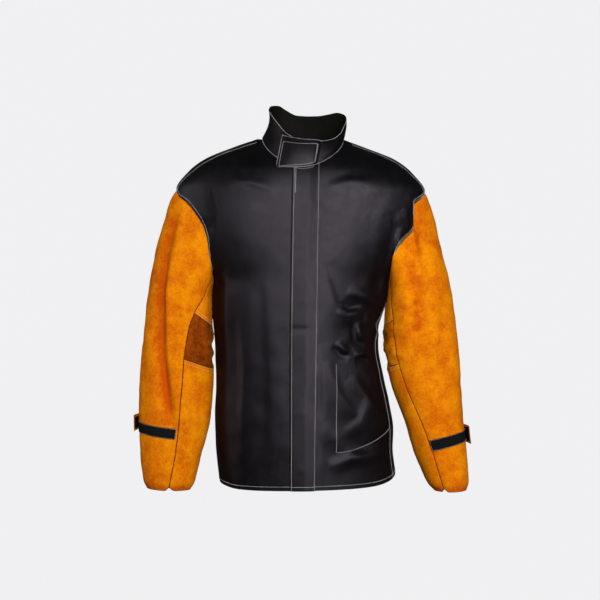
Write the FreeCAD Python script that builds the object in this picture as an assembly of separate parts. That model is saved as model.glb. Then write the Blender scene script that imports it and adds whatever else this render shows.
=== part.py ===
"""Welding jacket: a flame-resistant cotton body with split-leather sleeves, drawn as it hangs when worn.

Frame: millimetres, +Z up, the front faces -Y and +X is the wearer's left. The origin is the centre of
the neck opening, between the two points where the shoulder seams meet the collar.

The cotton pieces are cut from thin layers that follow one body surface: a layer is a sheet of even
thickness at some offset from that surface, and a paper pattern in the XZ plane trims it. The sleeves,
the collar and what is sewn on them are sheets over their own surfaces.
"""
import FreeCAD, Part
import math
import os
from FreeCAD import Vector

# ---- driving dimensions -------------------------------------------------------------------------
HEM_Z = -747.0              # lower edge of the body
NECK_FRONT_Z = -50.0        # neck seam at the centre front
NECK_SIDE_Z = 25.0          # neck seam at its highest point, beside the neck
NAPE_Z = 14.0               # neck seam at the centre back
NECK_HALF = 93.0            # half the width of the neck opening
SHOULDER_TIP_X = 279.0      # where the shoulder seam meets the sleeve
SHOULDER_TIP_Z = -91.0
ARMPIT_Z = -295.0

CLOTH = 1.5                 # cotton, with its seam allowances
LEATHER = 2.0               # split cowhide
PATCH = 1.1                 # hook or loop tape
SEAM_GAP = 0.5              # between pieces sewn edge to edge
BODY_GAP = 2.4              # between the body's edge and a sleeve that turns at the shoulder

FLAP_EDGE_X = -21.0         # free edge of the front flap, on the wearer's right
FLAP_ROOT_X = 33.0          # stitch line that the flap turns about
FLAP_TOP_Z = -58.0
SNAP_COUNT = 6
SNAP_TOP_Z, SNAP_BOTTOM_Z = -100.0, -700.0
SNAP_X = 4.0

TAB_END, TAB_ROOT = -37.0, 19.0      # collar tab, in degrees round the neck from the centre front
BAND_END = 9.0                       # free end of the collar band, under the tab

# Body sections, from the hem up: height, half width, depth to the front and to the back, squareness
BODY = [
    (-757, 192, 147, 132, 2.30), (-650, 194, 143.5, 130, 2.30), (-560, 190, 140, 127, 2.30),
    (-450, 184, 135.5, 125, 2.35), (-370, 184, 132, 129, 2.40), (-295, 195, 128, 134, 2.40),
    (-245, 222, 125, 136, 2.40), (-200, 248, 121.5, 136, 2.35), (-150, 268, 117, 133, 2.25),
    (-91, 279, 110, 124, 2.10), (-50, 251, 101, 112, 1.90), (-22, 215, 84, 100, 1.65),
    (5, 150, 55, 84, 1.40), (21, 106, 26, 66, 1.25), (28, 88, 10, 50, 1.20),
]
# Armhole seams in the front view: height and distance from the centre, for the front and the back
ARMHOLE_FRONT = [(-295, 195), (-260, 195), (-215, 198), (-172, 213), (-135, 240), (-110, 262), (-91, 279)]
ARMHOLE_BACK = [(-295, 195), (-255, 201), (-215, 219), (-172, 239), (-130, 259), (-105, 272), (-91, 279)]
# Upper edge of the collar: degrees from the centre front, height
COLLAR_TOP = [
    (0, 18), (25, 20), (45, 31), (60, 46), (75, 64), (90, 79), (110, 93), (130, 100), (155, 95), (180, 85),
]
COLLAR_TOP_HALF, COLLAR_TOP_FRONT, COLLAR_TOP_BACK = 86.0, 88.0, 62.0
COLLAR_LEAN_X, COLLAR_TILT = 5.0, 6.0
# Sleeve rings: share of the length, outer edge x and z, inner edge x and z, middle y, half depth
SLEEVE_LEFT = [
    (0.00, 280, -91, 196, -295, 0, 85), (0.10, 298, -150, 197, -322, -1, 83),
    (0.22, 316, -240, 197, -362, -3, 76), (0.37, 332, -340, 195, -425, -6, 70),
    (0.54, 348, -462, 204, -512, -12, 65), (0.72, 362, -585, 230, -602, -20, 58),
    (0.87, 370, -675, 259, -692, -28, 51), (1.00, 374, -750, 290, -768, -35, 43),
]
SLEEVE_RIGHT = [
    (0.00, 280, -91, 196, -295, 0, 85), (0.10, 304, -150, 197, -322, -1, 83),
    (0.22, 334, -230, 197, -362, -3, 77), (0.37, 352, -336, 195, -425, -6, 71),
    (0.54, 366, -466, 197, -515, -12, 66), (0.72, 373, -590, 210, -600, -20, 60),
    (0.87, 367, -678, 237, -684, -28, 53), (1.00, 355, -756, 260, -757, -35, 45),
]
# Under-sleeve seams: share of the length, degrees from the outer edge towards the front
UNDER_SEAM = [(0.0, 150), (0.2, 131), (0.38, 117), (0.75, 112), (1.0, 104)]
ELBOW_SEAMS = (0.30, 0.49)
WRIST_SHARE = {1: 0.80, -1: 0.77}    # middle of the wrist tape along each sleeve
WRIST_TAPE = (-12.0, 101.0)          # degrees round the sleeve
WRIST_TAB = (-76.0, 7.0)
WRIST_TAB_LIFT = 7.0                 # how far the tab's free end stands off the sleeve
WRIST_ROOT_DROP = 1.8                # how much closer to the sleeve the tab lies where it is sewn
TAPE_HALF, WRIST_TAB_HALF = 0.020, 0.028


class Profile:
    """A smooth curve through (place, value) keys that doesn't swing past them."""

    def __init__(self, keys):
        self.x = [float(k[0]) for k in keys]
        self.y = [float(k[1]) for k in keys]
        rise = [(self.y[i + 1] - self.y[i]) / (self.x[i + 1] - self.x[i]) for i in range(len(keys) - 1)]
        inner = [2 * a * b / (a + b) if a * b > 0 else 0.0 for a, b in zip(rise, rise[1:])]
        self.slope = [rise[0]] + inner + [rise[-1]]

    def __call__(self, place):
        x = min(max(place, self.x[0]), self.x[-1])
        i = max(0, min(len(self.x) - 2, sum(1 for k in self.x if k <= x) - 1))
        span = self.x[i + 1] - self.x[i]
        t = (x - self.x[i]) / span
        start = (1 + 2 * t) * (1 - t) ** 2 * self.y[i] + t * (1 - t) ** 2 * span * self.slope[i]
        end = t * t * (3 - 2 * t) * self.y[i + 1] + t * t * (t - 1) * span * self.slope[i + 1]
        return start + end


half_width, front_depth, back_depth, squareness = (
    Profile([(row[0], row[k]) for row in BODY]) for k in (1, 2, 3, 4)
)
armhole_front, armhole_back = Profile(ARMHOLE_FRONT), Profile(ARMHOLE_BACK)
under_seam, collar_top_z = Profile(UNDER_SEAM), Profile(COLLAR_TOP)
parts = {}


# ---- surfaces -----------------------------------------------------------------------------------
def body_point(turn, z):
    """The body at a height. turn is -90 at the centre front, 0 at the wearer's left side, 90 at the back."""
    t = math.radians(turn)
    across = math.copysign(abs(math.cos(t)) ** (2 / squareness(z)), math.cos(t))
    depth = front_depth(z) if math.sin(t) < 0 else back_depth(z)
    return Vector(half_width(z) * across, depth * math.sin(t), z)


def turn_at(x, z, front=True):
    """The turn at which the body passes x, on the front or the back."""
    share = min(1.0, abs(x) / half_width(z)) ** (squareness(z) / 2)
    away = math.degrees(math.acos(math.copysign(share, x)))
    return -away if front else away


def neck_seam_z(angle):
    """Height of the neck seam, by degrees round the neck from the centre front."""
    a = math.radians(abs((angle + 180) % 360 - 180))
    if a < math.pi / 2:
        return NECK_FRONT_Z + (NECK_SIDE_Z - NECK_FRONT_Z) * (1 - math.cos(a)) ** 0.8
    return NAPE_Z + (NECK_SIDE_Z - NAPE_Z) * math.sin(a) ** 2


def neck_seam(angle):
    """A point of the neck seam on the body."""
    z = neck_seam_z(angle)
    x = half_width(NECK_SIDE_Z) * math.sin(math.radians(angle))
    front = math.cos(math.radians(angle)) > 0
    return body_point(turn_at(x, z, front), z)


def collar_point(angle, share):
    """The collar: angle in degrees from the centre front towards the wearer's left, share of its height."""
    a = math.radians(angle)
    round_it = abs((angle + 180) % 360 - 180)
    depth = COLLAR_TOP_FRONT if math.cos(a) > 0 else COLLAR_TOP_BACK
    low = neck_seam(angle) + Vector(0, 0, 1.0)
    high = Vector(
        COLLAR_LEAN_X + COLLAR_TOP_HALF * math.sin(a),
        -depth * math.cos(a),
        collar_top_z(round_it) - COLLAR_TILT * math.sin(a),
    )
    bow = 3.0 * math.sin(math.pi * share)
    return low * (1 - share) + high * share + Vector(bow * math.sin(a), -bow * math.cos(a), 0)


def sleeve_surface(side):
    """The surface function of the sleeve on one side, 1 for the wearer's left and -1 for the right."""
    rings = SLEEVE_LEFT if side > 0 else SLEEVE_RIGHT
    xo, zo, xi, zi, yc, ry = (Profile([(row[0], row[k]) for row in rings]) for k in range(1, 7))

    def ring(angle, s):
        c, d = math.cos(math.radians(angle)), math.sin(math.radians(angle))
        x = (xo(s) + xi(s)) / 2 + (xo(s) - xi(s)) / 2 * c
        z = (zo(s) + zi(s)) / 2 + (zo(s) - zi(s)) / 2 * c
        return Vector(x, yc(s) - ry(s) * d, z)

    def armhole(angle):
        c, d = math.cos(math.radians(angle)), math.sin(math.radians(angle))
        z = (SHOULDER_TIP_Z + ARMPIT_Z) / 2 + (SHOULDER_TIP_Z - ARMPIT_Z) / 2 * c
        x = armhole_front(z) if d > 0 else armhole_back(z)
        y = body_point(turn_at(x, z, d > 0), z).y
        return Vector(x + BODY_GAP, y, z - BODY_GAP * (1 - c) / 2)

    def point(angle, s):
        fade = max(0.0, 1 - s / 0.32)
        p = ring(angle, s) + (armhole(angle) - ring(angle, 0.0)) * (fade * fade * (3 - 2 * fade))
        return Vector(side * p.x, p.y, p.z)

    return point


def offset(surface, a, b, distance, outward, by_share=True):
    """A point of the surface moved off it along its normal, away from the point outward(a, b).

    by_share says that b is a share of the surface's length, from 0 to 1, and not a height.
    """
    p = surface(a, b)
    low, high = (max(0.0, b - 0.004), min(1.0, b + 0.004)) if by_share else (b - 0.4, b + 0.4)
    across = surface(a + 0.4, b) - surface(a - 0.4, b)
    along = surface(a, high) - surface(a, low)
    n = across.cross(along)
    n.normalize()
    if n.dot(p - outward(a, b)) < 0:
        n = n * -1
    return p + n * distance


# ---- solids -------------------------------------------------------------------------------------
def skin(grid):
    """A smooth surface through a grid of points."""
    surface = Part.BSplineSurface()
    surface.interpolate(grid)
    return surface


def sheet(outer, inner):
    """A closed solid between two grids of points."""
    top, bottom = skin(outer), skin(inner)
    faces = [top.toShape(), bottom.toShape()]
    u0, u1, v0, v1 = top.bounds()
    p0, p1, q0, q1 = bottom.bounds()
    rims = [
        (top.uIso(u0), bottom.uIso(p0)), (top.uIso(u1), bottom.uIso(p1)),
        (top.vIso(v0), bottom.vIso(q0)), (top.vIso(v1), bottom.vIso(q1)),
    ]
    faces += [Part.makeRuledSurface(a.toShape(), b.toShape()) for a, b in rims]
    shell = Part.makeShell(faces)
    shell.sewShape()
    solid = Part.makeSolid(shell)
    if solid.Volume < 0:
        solid.reverse()
    return solid


def spread(low, high, count):
    """count values from low to high, evenly spaced."""
    return [low + (high - low) * i / (count - 1) for i in range(count)]


def sheet_over(surface, columns, rows, low, high, outward, by_share=True):
    """A sheet over columns and rows of a surface, between two offsets from it.

    columns may be a function of the row, and an offset may be a function of both.
    """
    def grid(distance):
        away = distance if callable(distance) else lambda a, b: distance
        return [
            [offset(surface, a, b, away(a, b), outward, by_share)
             for a in (columns(b) if callable(columns) else columns)]
            for b in rows
        ]
    return sheet(grid(high), grid(low))


def body_axis(turn, z):
    """The middle of the body at a height, which its normals point away from."""
    return Vector(0, 0, z - 60 if z > SHOULDER_TIP_Z else z)


BODY_ROWS = [
    HEM_Z, -690, -620, -550, -480, -410, -350, -295, -245, -200, -160, -125, -95, -70, -47, -27, -9, 6,
    17, 24, 28,
]


def even_turns(start, end, count):
    """Turns that are evenly spaced along the body's section, as a function of the height."""
    def at(z):
        fine = spread(start, end, 8 * count)
        path = [body_point(t, z) for t in fine]
        length = [0.0]
        for p, q in zip(path, path[1:]):
            length.append(length[-1] + (q - p).Length)
        turns, i = [], 0
        for goal in spread(0.0, length[-1], count):
            while i < len(fine) - 2 and length[i + 1] < goal:
                i += 1
            share = (goal - length[i]) / max(length[i + 1] - length[i], 1e-9)
            turns.append(fine[i] + (fine[i + 1] - fine[i]) * min(1.0, max(0.0, share)))
        return turns
    return at


def layer(low, high, start, end, columns, rows=BODY_ROWS):
    """A sheet over the body from one turn to another, between two offsets."""
    return sheet_over(body_point, even_turns(start, end, columns), rows, low, high, body_axis, False)


def pattern(outline, y_from, y_to):
    """A paper pattern: an outline in the XZ plane, of lines and curves, pushed from y_from to y_to."""
    edges = []
    for piece in outline:
        points = [Vector(x, y_from, z) for x, z in piece]
        if len(points) == 2:
            edges.append(Part.makeLine(*points))
        else:
            curve = Part.BSplineCurve()
            curve.interpolate(points)
            edges.append(curve.toShape())
    face = Part.Face(Part.Wire(Part.__sortEdges__(edges)))
    return face.extrude(Vector(0, y_to - y_from, 0))


def loop_of(corners):
    """The sides of a polygon, as an outline for a pattern."""
    return [[a, b] for a, b in zip(corners, corners[1:] + corners[:1])]


def box_between(x0, x1, z0, z1, y0=-400.0, y1=400.0):
    """A plain box, by its sides."""
    return Part.makeBox(x1 - x0, y1 - y0, z1 - z0, Vector(x0, y0, z0))


def mirrored(shape):
    """The same shape on the wearer's other side."""
    return shape.mirror(Vector(0, 0, 0), Vector(1, 0, 0))


def keep(name, *solids):
    """Stores solids under a node's name."""
    found = [s for shape in solids for s in shape.Solids]
    parts[name] = Part.makeCompound(found) if len(found) > 1 else found[0]


# ---- patterns -----------------------------------------------------------------------------------
SEAM_NECK_ANGLE, SEAM_TIP_TURN, SEAM_TIP_Z = 84.0, -10.0, -96.0


def shoulder_seam(count=6):
    """The shoulder seam in the front view, from the neck to the sleeve. It lies a little to the front."""
    z0 = neck_seam_z(SEAM_NECK_ANGLE)
    first = turn_at(neck_seam(SEAM_NECK_ANGLE).x, z0)
    points = []
    for share in spread(0.0, 1.0, count):
        z = z0 + (SEAM_TIP_Z - z0) * share
        p = body_point(first + (SEAM_TIP_TURN - first) * share, z)
        points.append((p.x, p.z))
    return points


def front_outline(x_centre, widen=0.0):
    """The front panel's pattern, from its centre edge to the side. widen moves its other edges out."""
    start = math.degrees(math.asin(max(0.0, x_centre) / half_width(NECK_SIDE_Z)))
    neck = []
    for angle in spread(start, SEAM_NECK_ANGLE, 8):
        p = neck_seam(angle)
        neck.append((p.x, p.z + widen))
    neck[0] = (x_centre, neck[0][1])
    seam = [(x, z + widen) for x, z in shoulder_seam()]
    neck[-1] = seam[0]
    tip_x, tip_z = seam[-1]
    arm = [(tip_x, tip_z)]
    arm += [(armhole_front(z) + widen, z) for z in (-112, -135, -160, -190, -225, -260)]
    arm.append((armhole_front(ARMPIT_Z) + widen + 0.2, ARMPIT_Z))
    side = arm[-1][0] + 60
    return [
        neck, seam, arm, [arm[-1], (side, ARMPIT_Z)], [(side, ARMPIT_Z), (side, HEM_Z - 30)],
        [(side, HEM_Z - 30), (x_centre, HEM_Z - 30)], [(x_centre, HEM_Z - 30), neck[0]],
    ]


def back_outline():
    """The back panel's pattern on the wearer's left, which ends at the shoulder and the armhole."""
    neck = [(neck_seam(a).x, neck_seam(a).z) for a in spread(180.0, 90.0, 6)]
    neck[0] = (0.0, NAPE_Z)
    beyond = SHOULDER_TIP_X + 30
    shoulder = [neck[-1], (neck[-1][0], 60), (beyond, 60), (beyond, SHOULDER_TIP_Z)]
    arm = [(armhole_back(z), z) for z in (-91, -105, -130, -172, -215, -255)]
    arm.append((armhole_back(ARMPIT_Z) + 0.2, ARMPIT_Z))
    side = arm[-1][0] + 60
    return (
        [neck] + [[a, b] for a, b in zip(shoulder, shoulder[1:])] + [[shoulder[-1], arm[0]], arm]
        + [[arm[-1], (side, ARMPIT_Z)], [(side, ARMPIT_Z), (side, HEM_Z - 30)]]
        + [[(side, HEM_Z - 30), (0.0, HEM_Z - 30)], [(0.0, HEM_Z - 30), neck[0]]]
    )


# ---- cotton body --------------------------------------------------------------------------------
def make_fronts():
    """The two front panels and the strip that the snap studs are set in."""
    left = layer(-CLOTH, 0.0, turn_at(FLAP_ROOT_X - 20, -400), -0.15, 13)
    left = left.common(pattern(front_outline(FLAP_ROOT_X + 1.0), -400, 0))
    keep("left_front_panel", left)
    right = layer(-CLOTH, 0.0, turn_at(-FLAP_ROOT_X - 8, -400), -0.15, 14)
    right = mirrored(right.common(pattern(front_outline(0.0), -400, 0).fuse(
        box_between(-FLAP_ROOT_X + 7, 0.0, HEM_Z - 30, NECK_FRONT_Z))))
    stand = layer(-2 * CLOTH - 0.2, -CLOTH - 0.2, turn_at(-FLAP_ROOT_X - 8, -400), turn_at(40, -400), 6)
    stand = mirrored(stand.common(box_between(-FLAP_ROOT_X + 7, -FLAP_EDGE_X + 9, HEM_Z + 16, FLAP_TOP_Z)))
    for z in snap_heights():
        hole = snap_cylinder(z, 1.8, -8.0, 2.0)
        right, stand = right.cut(hole), stand.cut(hole)
    keep("right_front_panel", right)
    keep("button_stand", stand)


def make_back():
    """The back panel, which runs over the shoulders to the seams at their front."""
    cloth = layer(-CLOTH, 0.0, -42.0, 222.0, 33)
    half = pattern(back_outline(), 0, 400)
    behind = half.fuse(mirrored(half))
    over = front_outline(0.0, SEAM_GAP)
    yoke = box_between(-330, 330, SHOULDER_TIP_Z - 20, 60, -400, 0)
    for front in (pattern(over, -401, 1), mirrored(pattern(over, -401, 1))):
        yoke = yoke.cut(front)
    inside = [(-NECK_HALF - 1.0, NECK_SIDE_Z), (-60, -40), (60, -40), (NECK_HALF + 1.0, NECK_SIDE_Z)]
    inside += [(NECK_HALF + 1.0, 70), (-NECK_HALF - 1.0, 70)]
    neck_hole = pattern(loop_of(inside), -401, 0)
    beside = [(armhole_front(-96), -96), (armhole_front(-112), -112), (400, -130), (400, -96)]
    outer = pattern(loop_of(beside), -401, 0)
    yoke = yoke.cut(neck_hole).cut(outer).cut(mirrored(outer))
    keep("back_panel", cloth.common(behind.fuse(yoke)))


def make_hem():
    """The turned-up hem inside each panel."""
    rows = [HEM_Z, HEM_Z + 5, HEM_Z + 10, HEM_Z + 14]
    low, high = -2 * CLOTH - 0.2, -CLOTH - 0.2
    keep("hem_fold_left", layer(low, high, turn_at(FLAP_ROOT_X + 2, HEM_Z), -0.6, 13, rows))
    keep("hem_fold_right", mirrored(layer(low, high, turn_at(-25, HEM_Z), -0.6, 14, rows)))
    keep("hem_fold_back", layer(low, high, 0.6, 179.4, 25, rows))


# ---- front flap and snaps -----------------------------------------------------------------------
FACING = (2.0, 3.0)          # offsets of the flap's inner and outer layers from the body surface
FLAP = (4.1, 5.6)


def snap_heights():
    return spread(SNAP_TOP_Z, SNAP_BOTTOM_Z, SNAP_COUNT)


def snap_place(z):
    """Where a snap sits on the body surface, and the way it faces."""
    turn = turn_at(SNAP_X, z)
    p = body_point(turn, z)
    n = offset(body_point, turn, z, 1.0, body_axis, False) - p
    return p, n


def snap_cylinder(z, radius, low, high):
    """A cylinder on a snap's axis between two offsets from the body surface."""
    p, n = snap_place(z)
    return Part.makeCylinder(radius, high - low, p + n * low, n)


def make_flap():
    """The front flap: its face, its facing and the snap halves that ride on it."""
    first, last = turn_at(FLAP_EDGE_X - 20, -400), turn_at(FLAP_ROOT_X + 20, -400)
    cut = box_between(FLAP_EDGE_X, FLAP_ROOT_X, HEM_Z - 30, FLAP_TOP_Z)
    keep("front_flap", layer(*FLAP, first, last, 7).common(cut))
    facing = layer(*FACING, first, last, 7).common(
        box_between(FLAP_EDGE_X + 2, FLAP_ROOT_X - 1, HEM_Z + 3, FLAP_TOP_Z - 2))
    sockets, caps = [], []
    for z in snap_heights():
        facing = facing.cut(snap_cylinder(z, 1.8, 0.0, 8.0))
        ring = snap_cylinder(z, 5.5, 0.95, FACING[0] - 0.05).cut(snap_cylinder(z, 3.0, -1.0, 8.0))
        sockets.append(ring)
        caps.append(snap_cylinder(z, 6.5, FACING[1] + 0.1, FLAP[0] - 0.1))
    keep("front_flap_facing", facing)
    keep("snap_sockets", *sockets)
    keep("snap_caps", *caps)


def make_studs():
    """The snap studs on the right front, each with its post through the cloth, and their back plates."""
    studs, backs = [], []
    for z in snap_heights():
        base = snap_cylinder(z, 5.0, 0.12, 0.7)
        knob = snap_cylinder(z, 2.1, 0.6, 1.8)
        post = snap_cylinder(z, 1.6, -2 * CLOTH - 0.35, 0.2)
        studs.append(base.fuse([knob, post]).removeSplitter())
        backs.append(snap_cylinder(z, 5.0, -2 * CLOTH - 1.4, -2 * CLOTH - 0.4))
    keep("snap_studs", *studs)
    keep("snap_back_plates", *backs)


# ---- collar -------------------------------------------------------------------------------------
def neck_axis(angle, share):
    return Vector(0, 0, -20 + 90 * share)


def collar_sheet(start, end, columns, bottom, top, low, high):
    rows = spread(bottom, top, 5)
    return sheet_over(collar_point, spread(start, end, columns), rows, low, high, neck_axis)


def make_collar():
    """The stand collar: outer band, lining, the tab that closes it and its hook and loop patches."""
    keep("collar_band", collar_sheet(TAB_ROOT + 1.5, 360 + BAND_END, 37, 0.0, 1.0, -CLOTH, 0.0))
    lining = collar_sheet(TAB_ROOT + 4, 360 + BAND_END - 3, 37, 0.03, 0.97, -2 * CLOTH - 0.3, -CLOTH - 0.3)
    keep("collar_lining", lining)
    keep("collar_loop_patch", collar_sheet(TAB_END + 4, BAND_END - 2, 7, 0.14, 0.86, 0.15, 0.15 + PATCH))
    keep("collar_hook_patch", collar_sheet(TAB_END + 8, TAB_ROOT - 3, 7, 0.14, 0.86, 1.65, 1.65 + PATCH))
    keep("collar_tab", collar_sheet(TAB_END, TAB_ROOT, 9, 0.0, 1.0, 2.9, 2.9 + CLOTH))


LOOP_HALF, LOOP_BOW, LOOP_WIDE, LOOP_THICK = 30.0, 11.0, 9.0, 1.6


def make_hanging_loop():
    """The loop inside the back of the neck: a tape that stands off the collar lining between its two ends."""
    back = neck_seam(180).y - 4.2
    inner, outer = [], []
    for x in spread(-LOOP_HALF, LOOP_HALF, 11):
        share = x / LOOP_HALF
        y = back - 0.5 - LOOP_BOW * (1 - share * share) ** 0.7 - 4.0 * share * share
        outer.append(Vector(x, y, 0))
        inner.append(Vector(x, y - LOOP_THICK, 0))
    curve, other = Part.BSplineCurve(), Part.BSplineCurve()
    curve.interpolate(outer)
    other.interpolate(list(reversed(inner)))
    ends = [Part.makeLine(outer[-1], inner[-1]), Part.makeLine(inner[0], outer[0])]
    edges = [curve.toShape(), ends[0], other.toShape(), ends[1]]
    strip = Part.Face(Part.Wire(edges)).extrude(Vector(0, 0, LOOP_WIDE))
    strip.translate(Vector(0, 0, NAPE_Z - LOOP_WIDE))
    keep("hanging_loop", strip)


# ---- inner pocket -------------------------------------------------------------------------------
POCKET_FRONT_X, POCKET_TOP_Z = 71.0, -470.0
POCKET_FRONT_BOTTOM_Z, POCKET_SIDE_BOTTOM_Z = -638.0, -578.0
POCKET_DEPTH = 15.0


def make_pocket():
    """The patch pocket inside the left front, open at its top. Its other edges meet the panel."""
    rows = spread(0.0, 1.0, 9)
    first, last = turn_at(POCKET_FRONT_X, -550), -4.0

    def place(turn, v):
        share = max(0.0, (turn - first) / (last - first))
        low = POCKET_FRONT_BOTTOM_Z + (POCKET_SIDE_BOTTOM_Z - POCKET_FRONT_BOTTOM_Z) * share ** 1.4
        return body_point(turn, low + (POCKET_TOP_Z - low) * v)

    def depth(turn, v):
        share = min(1.0, max(0.0, (turn - first) / (last - first)))
        across = 1 - (2 * share - 1) ** 6
        up = 1 - (1 - v) ** 6
        return -CLOTH - 0.3 - POCKET_DEPTH * across * up

    def axis(turn, v):
        return Vector(0, 0, -550)

    cloth = 1.0
    solid = sheet_over(place, spread(first, last, 13), rows, lambda a, b: depth(a, b) - cloth, depth, axis)
    keep("inner_pocket", solid)


# ---- sleeves ------------------------------------------------------------------------------------
def make_sleeve(side, name):
    """One sleeve: the top panel, the three under-sleeve panels, the wrist tape and the wrist tab."""
    surface = sleeve_surface(side)

    def axis(angle, s):
        return (surface(0, s) + surface(180, s)) * 0.5

    def seams(start, end, trim):
        def columns(s):
            return spread(start(s) + trim, end(s) - trim, 17)
        return columns

    rows = [0.0, 0.04, 0.09, 0.15, 0.22, 0.30, 0.36, 0.42, 0.49, 0.55, 0.61, 0.67, 0.73, 0.79, 0.86, 0.93, 1.0]
    top = seams(lambda s: -under_seam(s), lambda s: under_seam(s), 0.8)
    keep(f"{name}_top_sleeve", sheet_over(surface, top, rows, -LEATHER, 0.0, axis))
    under = seams(lambda s: under_seam(s), lambda s: 360 - under_seam(s), 2.5)
    gap = 0.0006
    first, last = ELBOW_SEAMS
    spans = {"upper": (0.0, first - gap), "elbow": (first + gap, last - gap), "lower": (last + gap, 1.0)}
    for label, (s0, s1) in spans.items():
        inner_rows = [s for s in rows if s0 + 0.01 < s < s1 - 0.01]
        solid = sheet_over(surface, under, [s0, *inner_rows, s1], -LEATHER, 0.0, axis)
        keep(f"{name}_under_sleeve_{label}", solid)

    middle = WRIST_SHARE[side]

    def wrist(half):
        def place(angle, v):
            slope = 0.012 * (angle - 45) / 60
            return surface(angle, middle + slope + half * (2 * v - 1))
        return place

    def wrist_axis(angle, v):
        return axis(angle, middle)

    def lift(extra):
        def distance(angle, v):
            share = max(0.0, (angle - WRIST_TAB[0]) / (WRIST_TAB[1] - WRIST_TAB[0]))
            return extra + WRIST_TAB_LIFT * share ** 2 - WRIST_ROOT_DROP * max(0.0, 1 - share / 0.35)
        return distance

    cross = spread(0.0, 1.0, 4)
    tape = sheet_over(wrist(TAPE_HALF), spread(*WRIST_TAPE, 17), cross, 0.3, 0.3 + PATCH, wrist_axis)
    keep(f"{name}_wrist_loop_tape", tape)
    angles = spread(*WRIST_TAB, 11)
    hook_angles = spread(WRIST_TAB[0] + 34, WRIST_TAB[1] - 2, 9)
    hook = sheet_over(wrist(TAPE_HALF), hook_angles, cross, lift(1.5), lift(1.5 + PATCH), wrist_axis)
    keep(f"{name}_wrist_hook_tape", hook)
    under_strap = 1.6 + PATCH
    strap = sheet_over(
        wrist(WRIST_TAB_HALF), angles, cross, lift(under_strap), lift(under_strap + LEATHER), wrist_axis)
    keep(f"{name}_wrist_tab", strap)


def main():
    make_fronts()
    make_back()
    make_hem()
    make_flap()
    make_studs()
    make_collar()
    make_hanging_loop()
    make_pocket()
    make_sleeve(1, "left")
    make_sleeve(-1, "right")
    os.makedirs("parts", exist_ok=True)
    for name, shape in sorted(parts.items()):
        state = "ok" if shape.isValid() and shape.Volume > 0 else "BAD"
        print(f"{name:28s} solids {len(shape.Solids)}  volume {shape.Volume / 1000:9.2f} cm3  {state}")
        shape.exportStep(f"parts/{name}.step")


main()
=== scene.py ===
"""Looks of the welding jacket: a black cotton body with golden split-leather sleeves.

The sheets lie on one of three forms: the body, a sleeve or the collar. The forms hold the folds, so that
pieces that lie on each other bend together. The snaps keep the frame's own shapes. Lengths are millimetres
until a mesh is made.
"""

import logging
import math
from dataclasses import dataclass, field, replace
from enum import Enum
from typing import Callable, Optional, Sequence

import bpy
import numpy as np
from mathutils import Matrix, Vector, noise

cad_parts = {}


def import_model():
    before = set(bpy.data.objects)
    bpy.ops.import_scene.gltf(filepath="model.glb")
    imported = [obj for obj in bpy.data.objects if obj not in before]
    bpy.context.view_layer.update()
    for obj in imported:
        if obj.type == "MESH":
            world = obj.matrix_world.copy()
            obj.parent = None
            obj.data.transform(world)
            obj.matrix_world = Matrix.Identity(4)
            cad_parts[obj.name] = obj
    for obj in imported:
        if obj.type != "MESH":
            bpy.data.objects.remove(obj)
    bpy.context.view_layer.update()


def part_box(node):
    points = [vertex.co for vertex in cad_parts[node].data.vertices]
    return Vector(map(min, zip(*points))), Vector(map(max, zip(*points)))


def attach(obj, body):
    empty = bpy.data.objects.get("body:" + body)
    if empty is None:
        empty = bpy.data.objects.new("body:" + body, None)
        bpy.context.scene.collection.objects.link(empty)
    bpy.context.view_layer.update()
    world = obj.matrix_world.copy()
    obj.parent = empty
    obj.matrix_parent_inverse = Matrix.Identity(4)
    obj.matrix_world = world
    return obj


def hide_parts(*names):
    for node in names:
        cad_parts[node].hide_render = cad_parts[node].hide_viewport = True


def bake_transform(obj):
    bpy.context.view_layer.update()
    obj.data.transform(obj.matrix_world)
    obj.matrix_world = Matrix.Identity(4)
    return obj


LOG = logging.getLogger("jacket")
MM = 0.001
Array = np.ndarray
Keys = Sequence[tuple[float, float]]
Point = tuple[float, float, float]


# ---- curves and small helpers -------------------------------------------------------------------
class Profile:
    """A smooth curve through (place, value) keys that doesn't swing past them."""

    def __init__(self, keys: Keys) -> None:
        """Args:
            keys: pairs of place and value, in order of place.
        """
        self.x, self.y = np.array(keys, float).T
        rise = np.diff(self.y) / np.diff(self.x)
        both = rise[:-1] * rise[1:]
        total = np.where(both > 0, rise[:-1] + rise[1:], 1.0)
        inner = np.where(both > 0, 2 * both / total, 0.0)
        self.slope = np.concatenate([rise[:1], inner, rise[-1:]])

    def __call__(self, place: Array | float) -> Array:
        """Returns the curve's value at each place, held level past its ends."""
        x = np.clip(np.asarray(place, float), self.x[0], self.x[-1])
        i = np.clip(np.searchsorted(self.x, x, side="right") - 1, 0, len(self.x) - 2)
        span = self.x[i + 1] - self.x[i]
        t = (x - self.x[i]) / span
        start = (1 + 2 * t) * (1 - t) ** 2 * self.y[i] + t * (1 - t) ** 2 * span * self.slope[i]
        end = t * t * (3 - 2 * t) * self.y[i + 1] + t * t * (t - 1) * span * self.slope[i + 1]
        return start + end


def ease(t: Array | float) -> Array:
    """Returns a smooth step of t from 0 to 1."""
    t = np.clip(t, 0.0, 1.0)
    return t * t * (3 - 2 * t)


def unit(v: Array) -> Array:
    """Returns the vectors at length one."""
    return v / np.maximum(np.linalg.norm(v, axis=-1, keepdims=True), 1e-12)


def run_along(points: Array, axis: int = 0) -> Array:
    """Returns how far each point lies from the first one of its row, along an axis of the grid."""
    steps = np.linalg.norm(np.diff(points, axis=axis), axis=-1)
    room = [(1, 0) if k == axis else (0, 0) for k in range(steps.ndim)]
    return np.pad(np.cumsum(steps, axis=axis), room)


def between(where: Array, run: Array, rows: Array) -> Array:
    """Returns the rows' values at places along their run."""
    return np.stack([np.interp(where, run, column) for column in rows.T], axis=-1)


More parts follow.
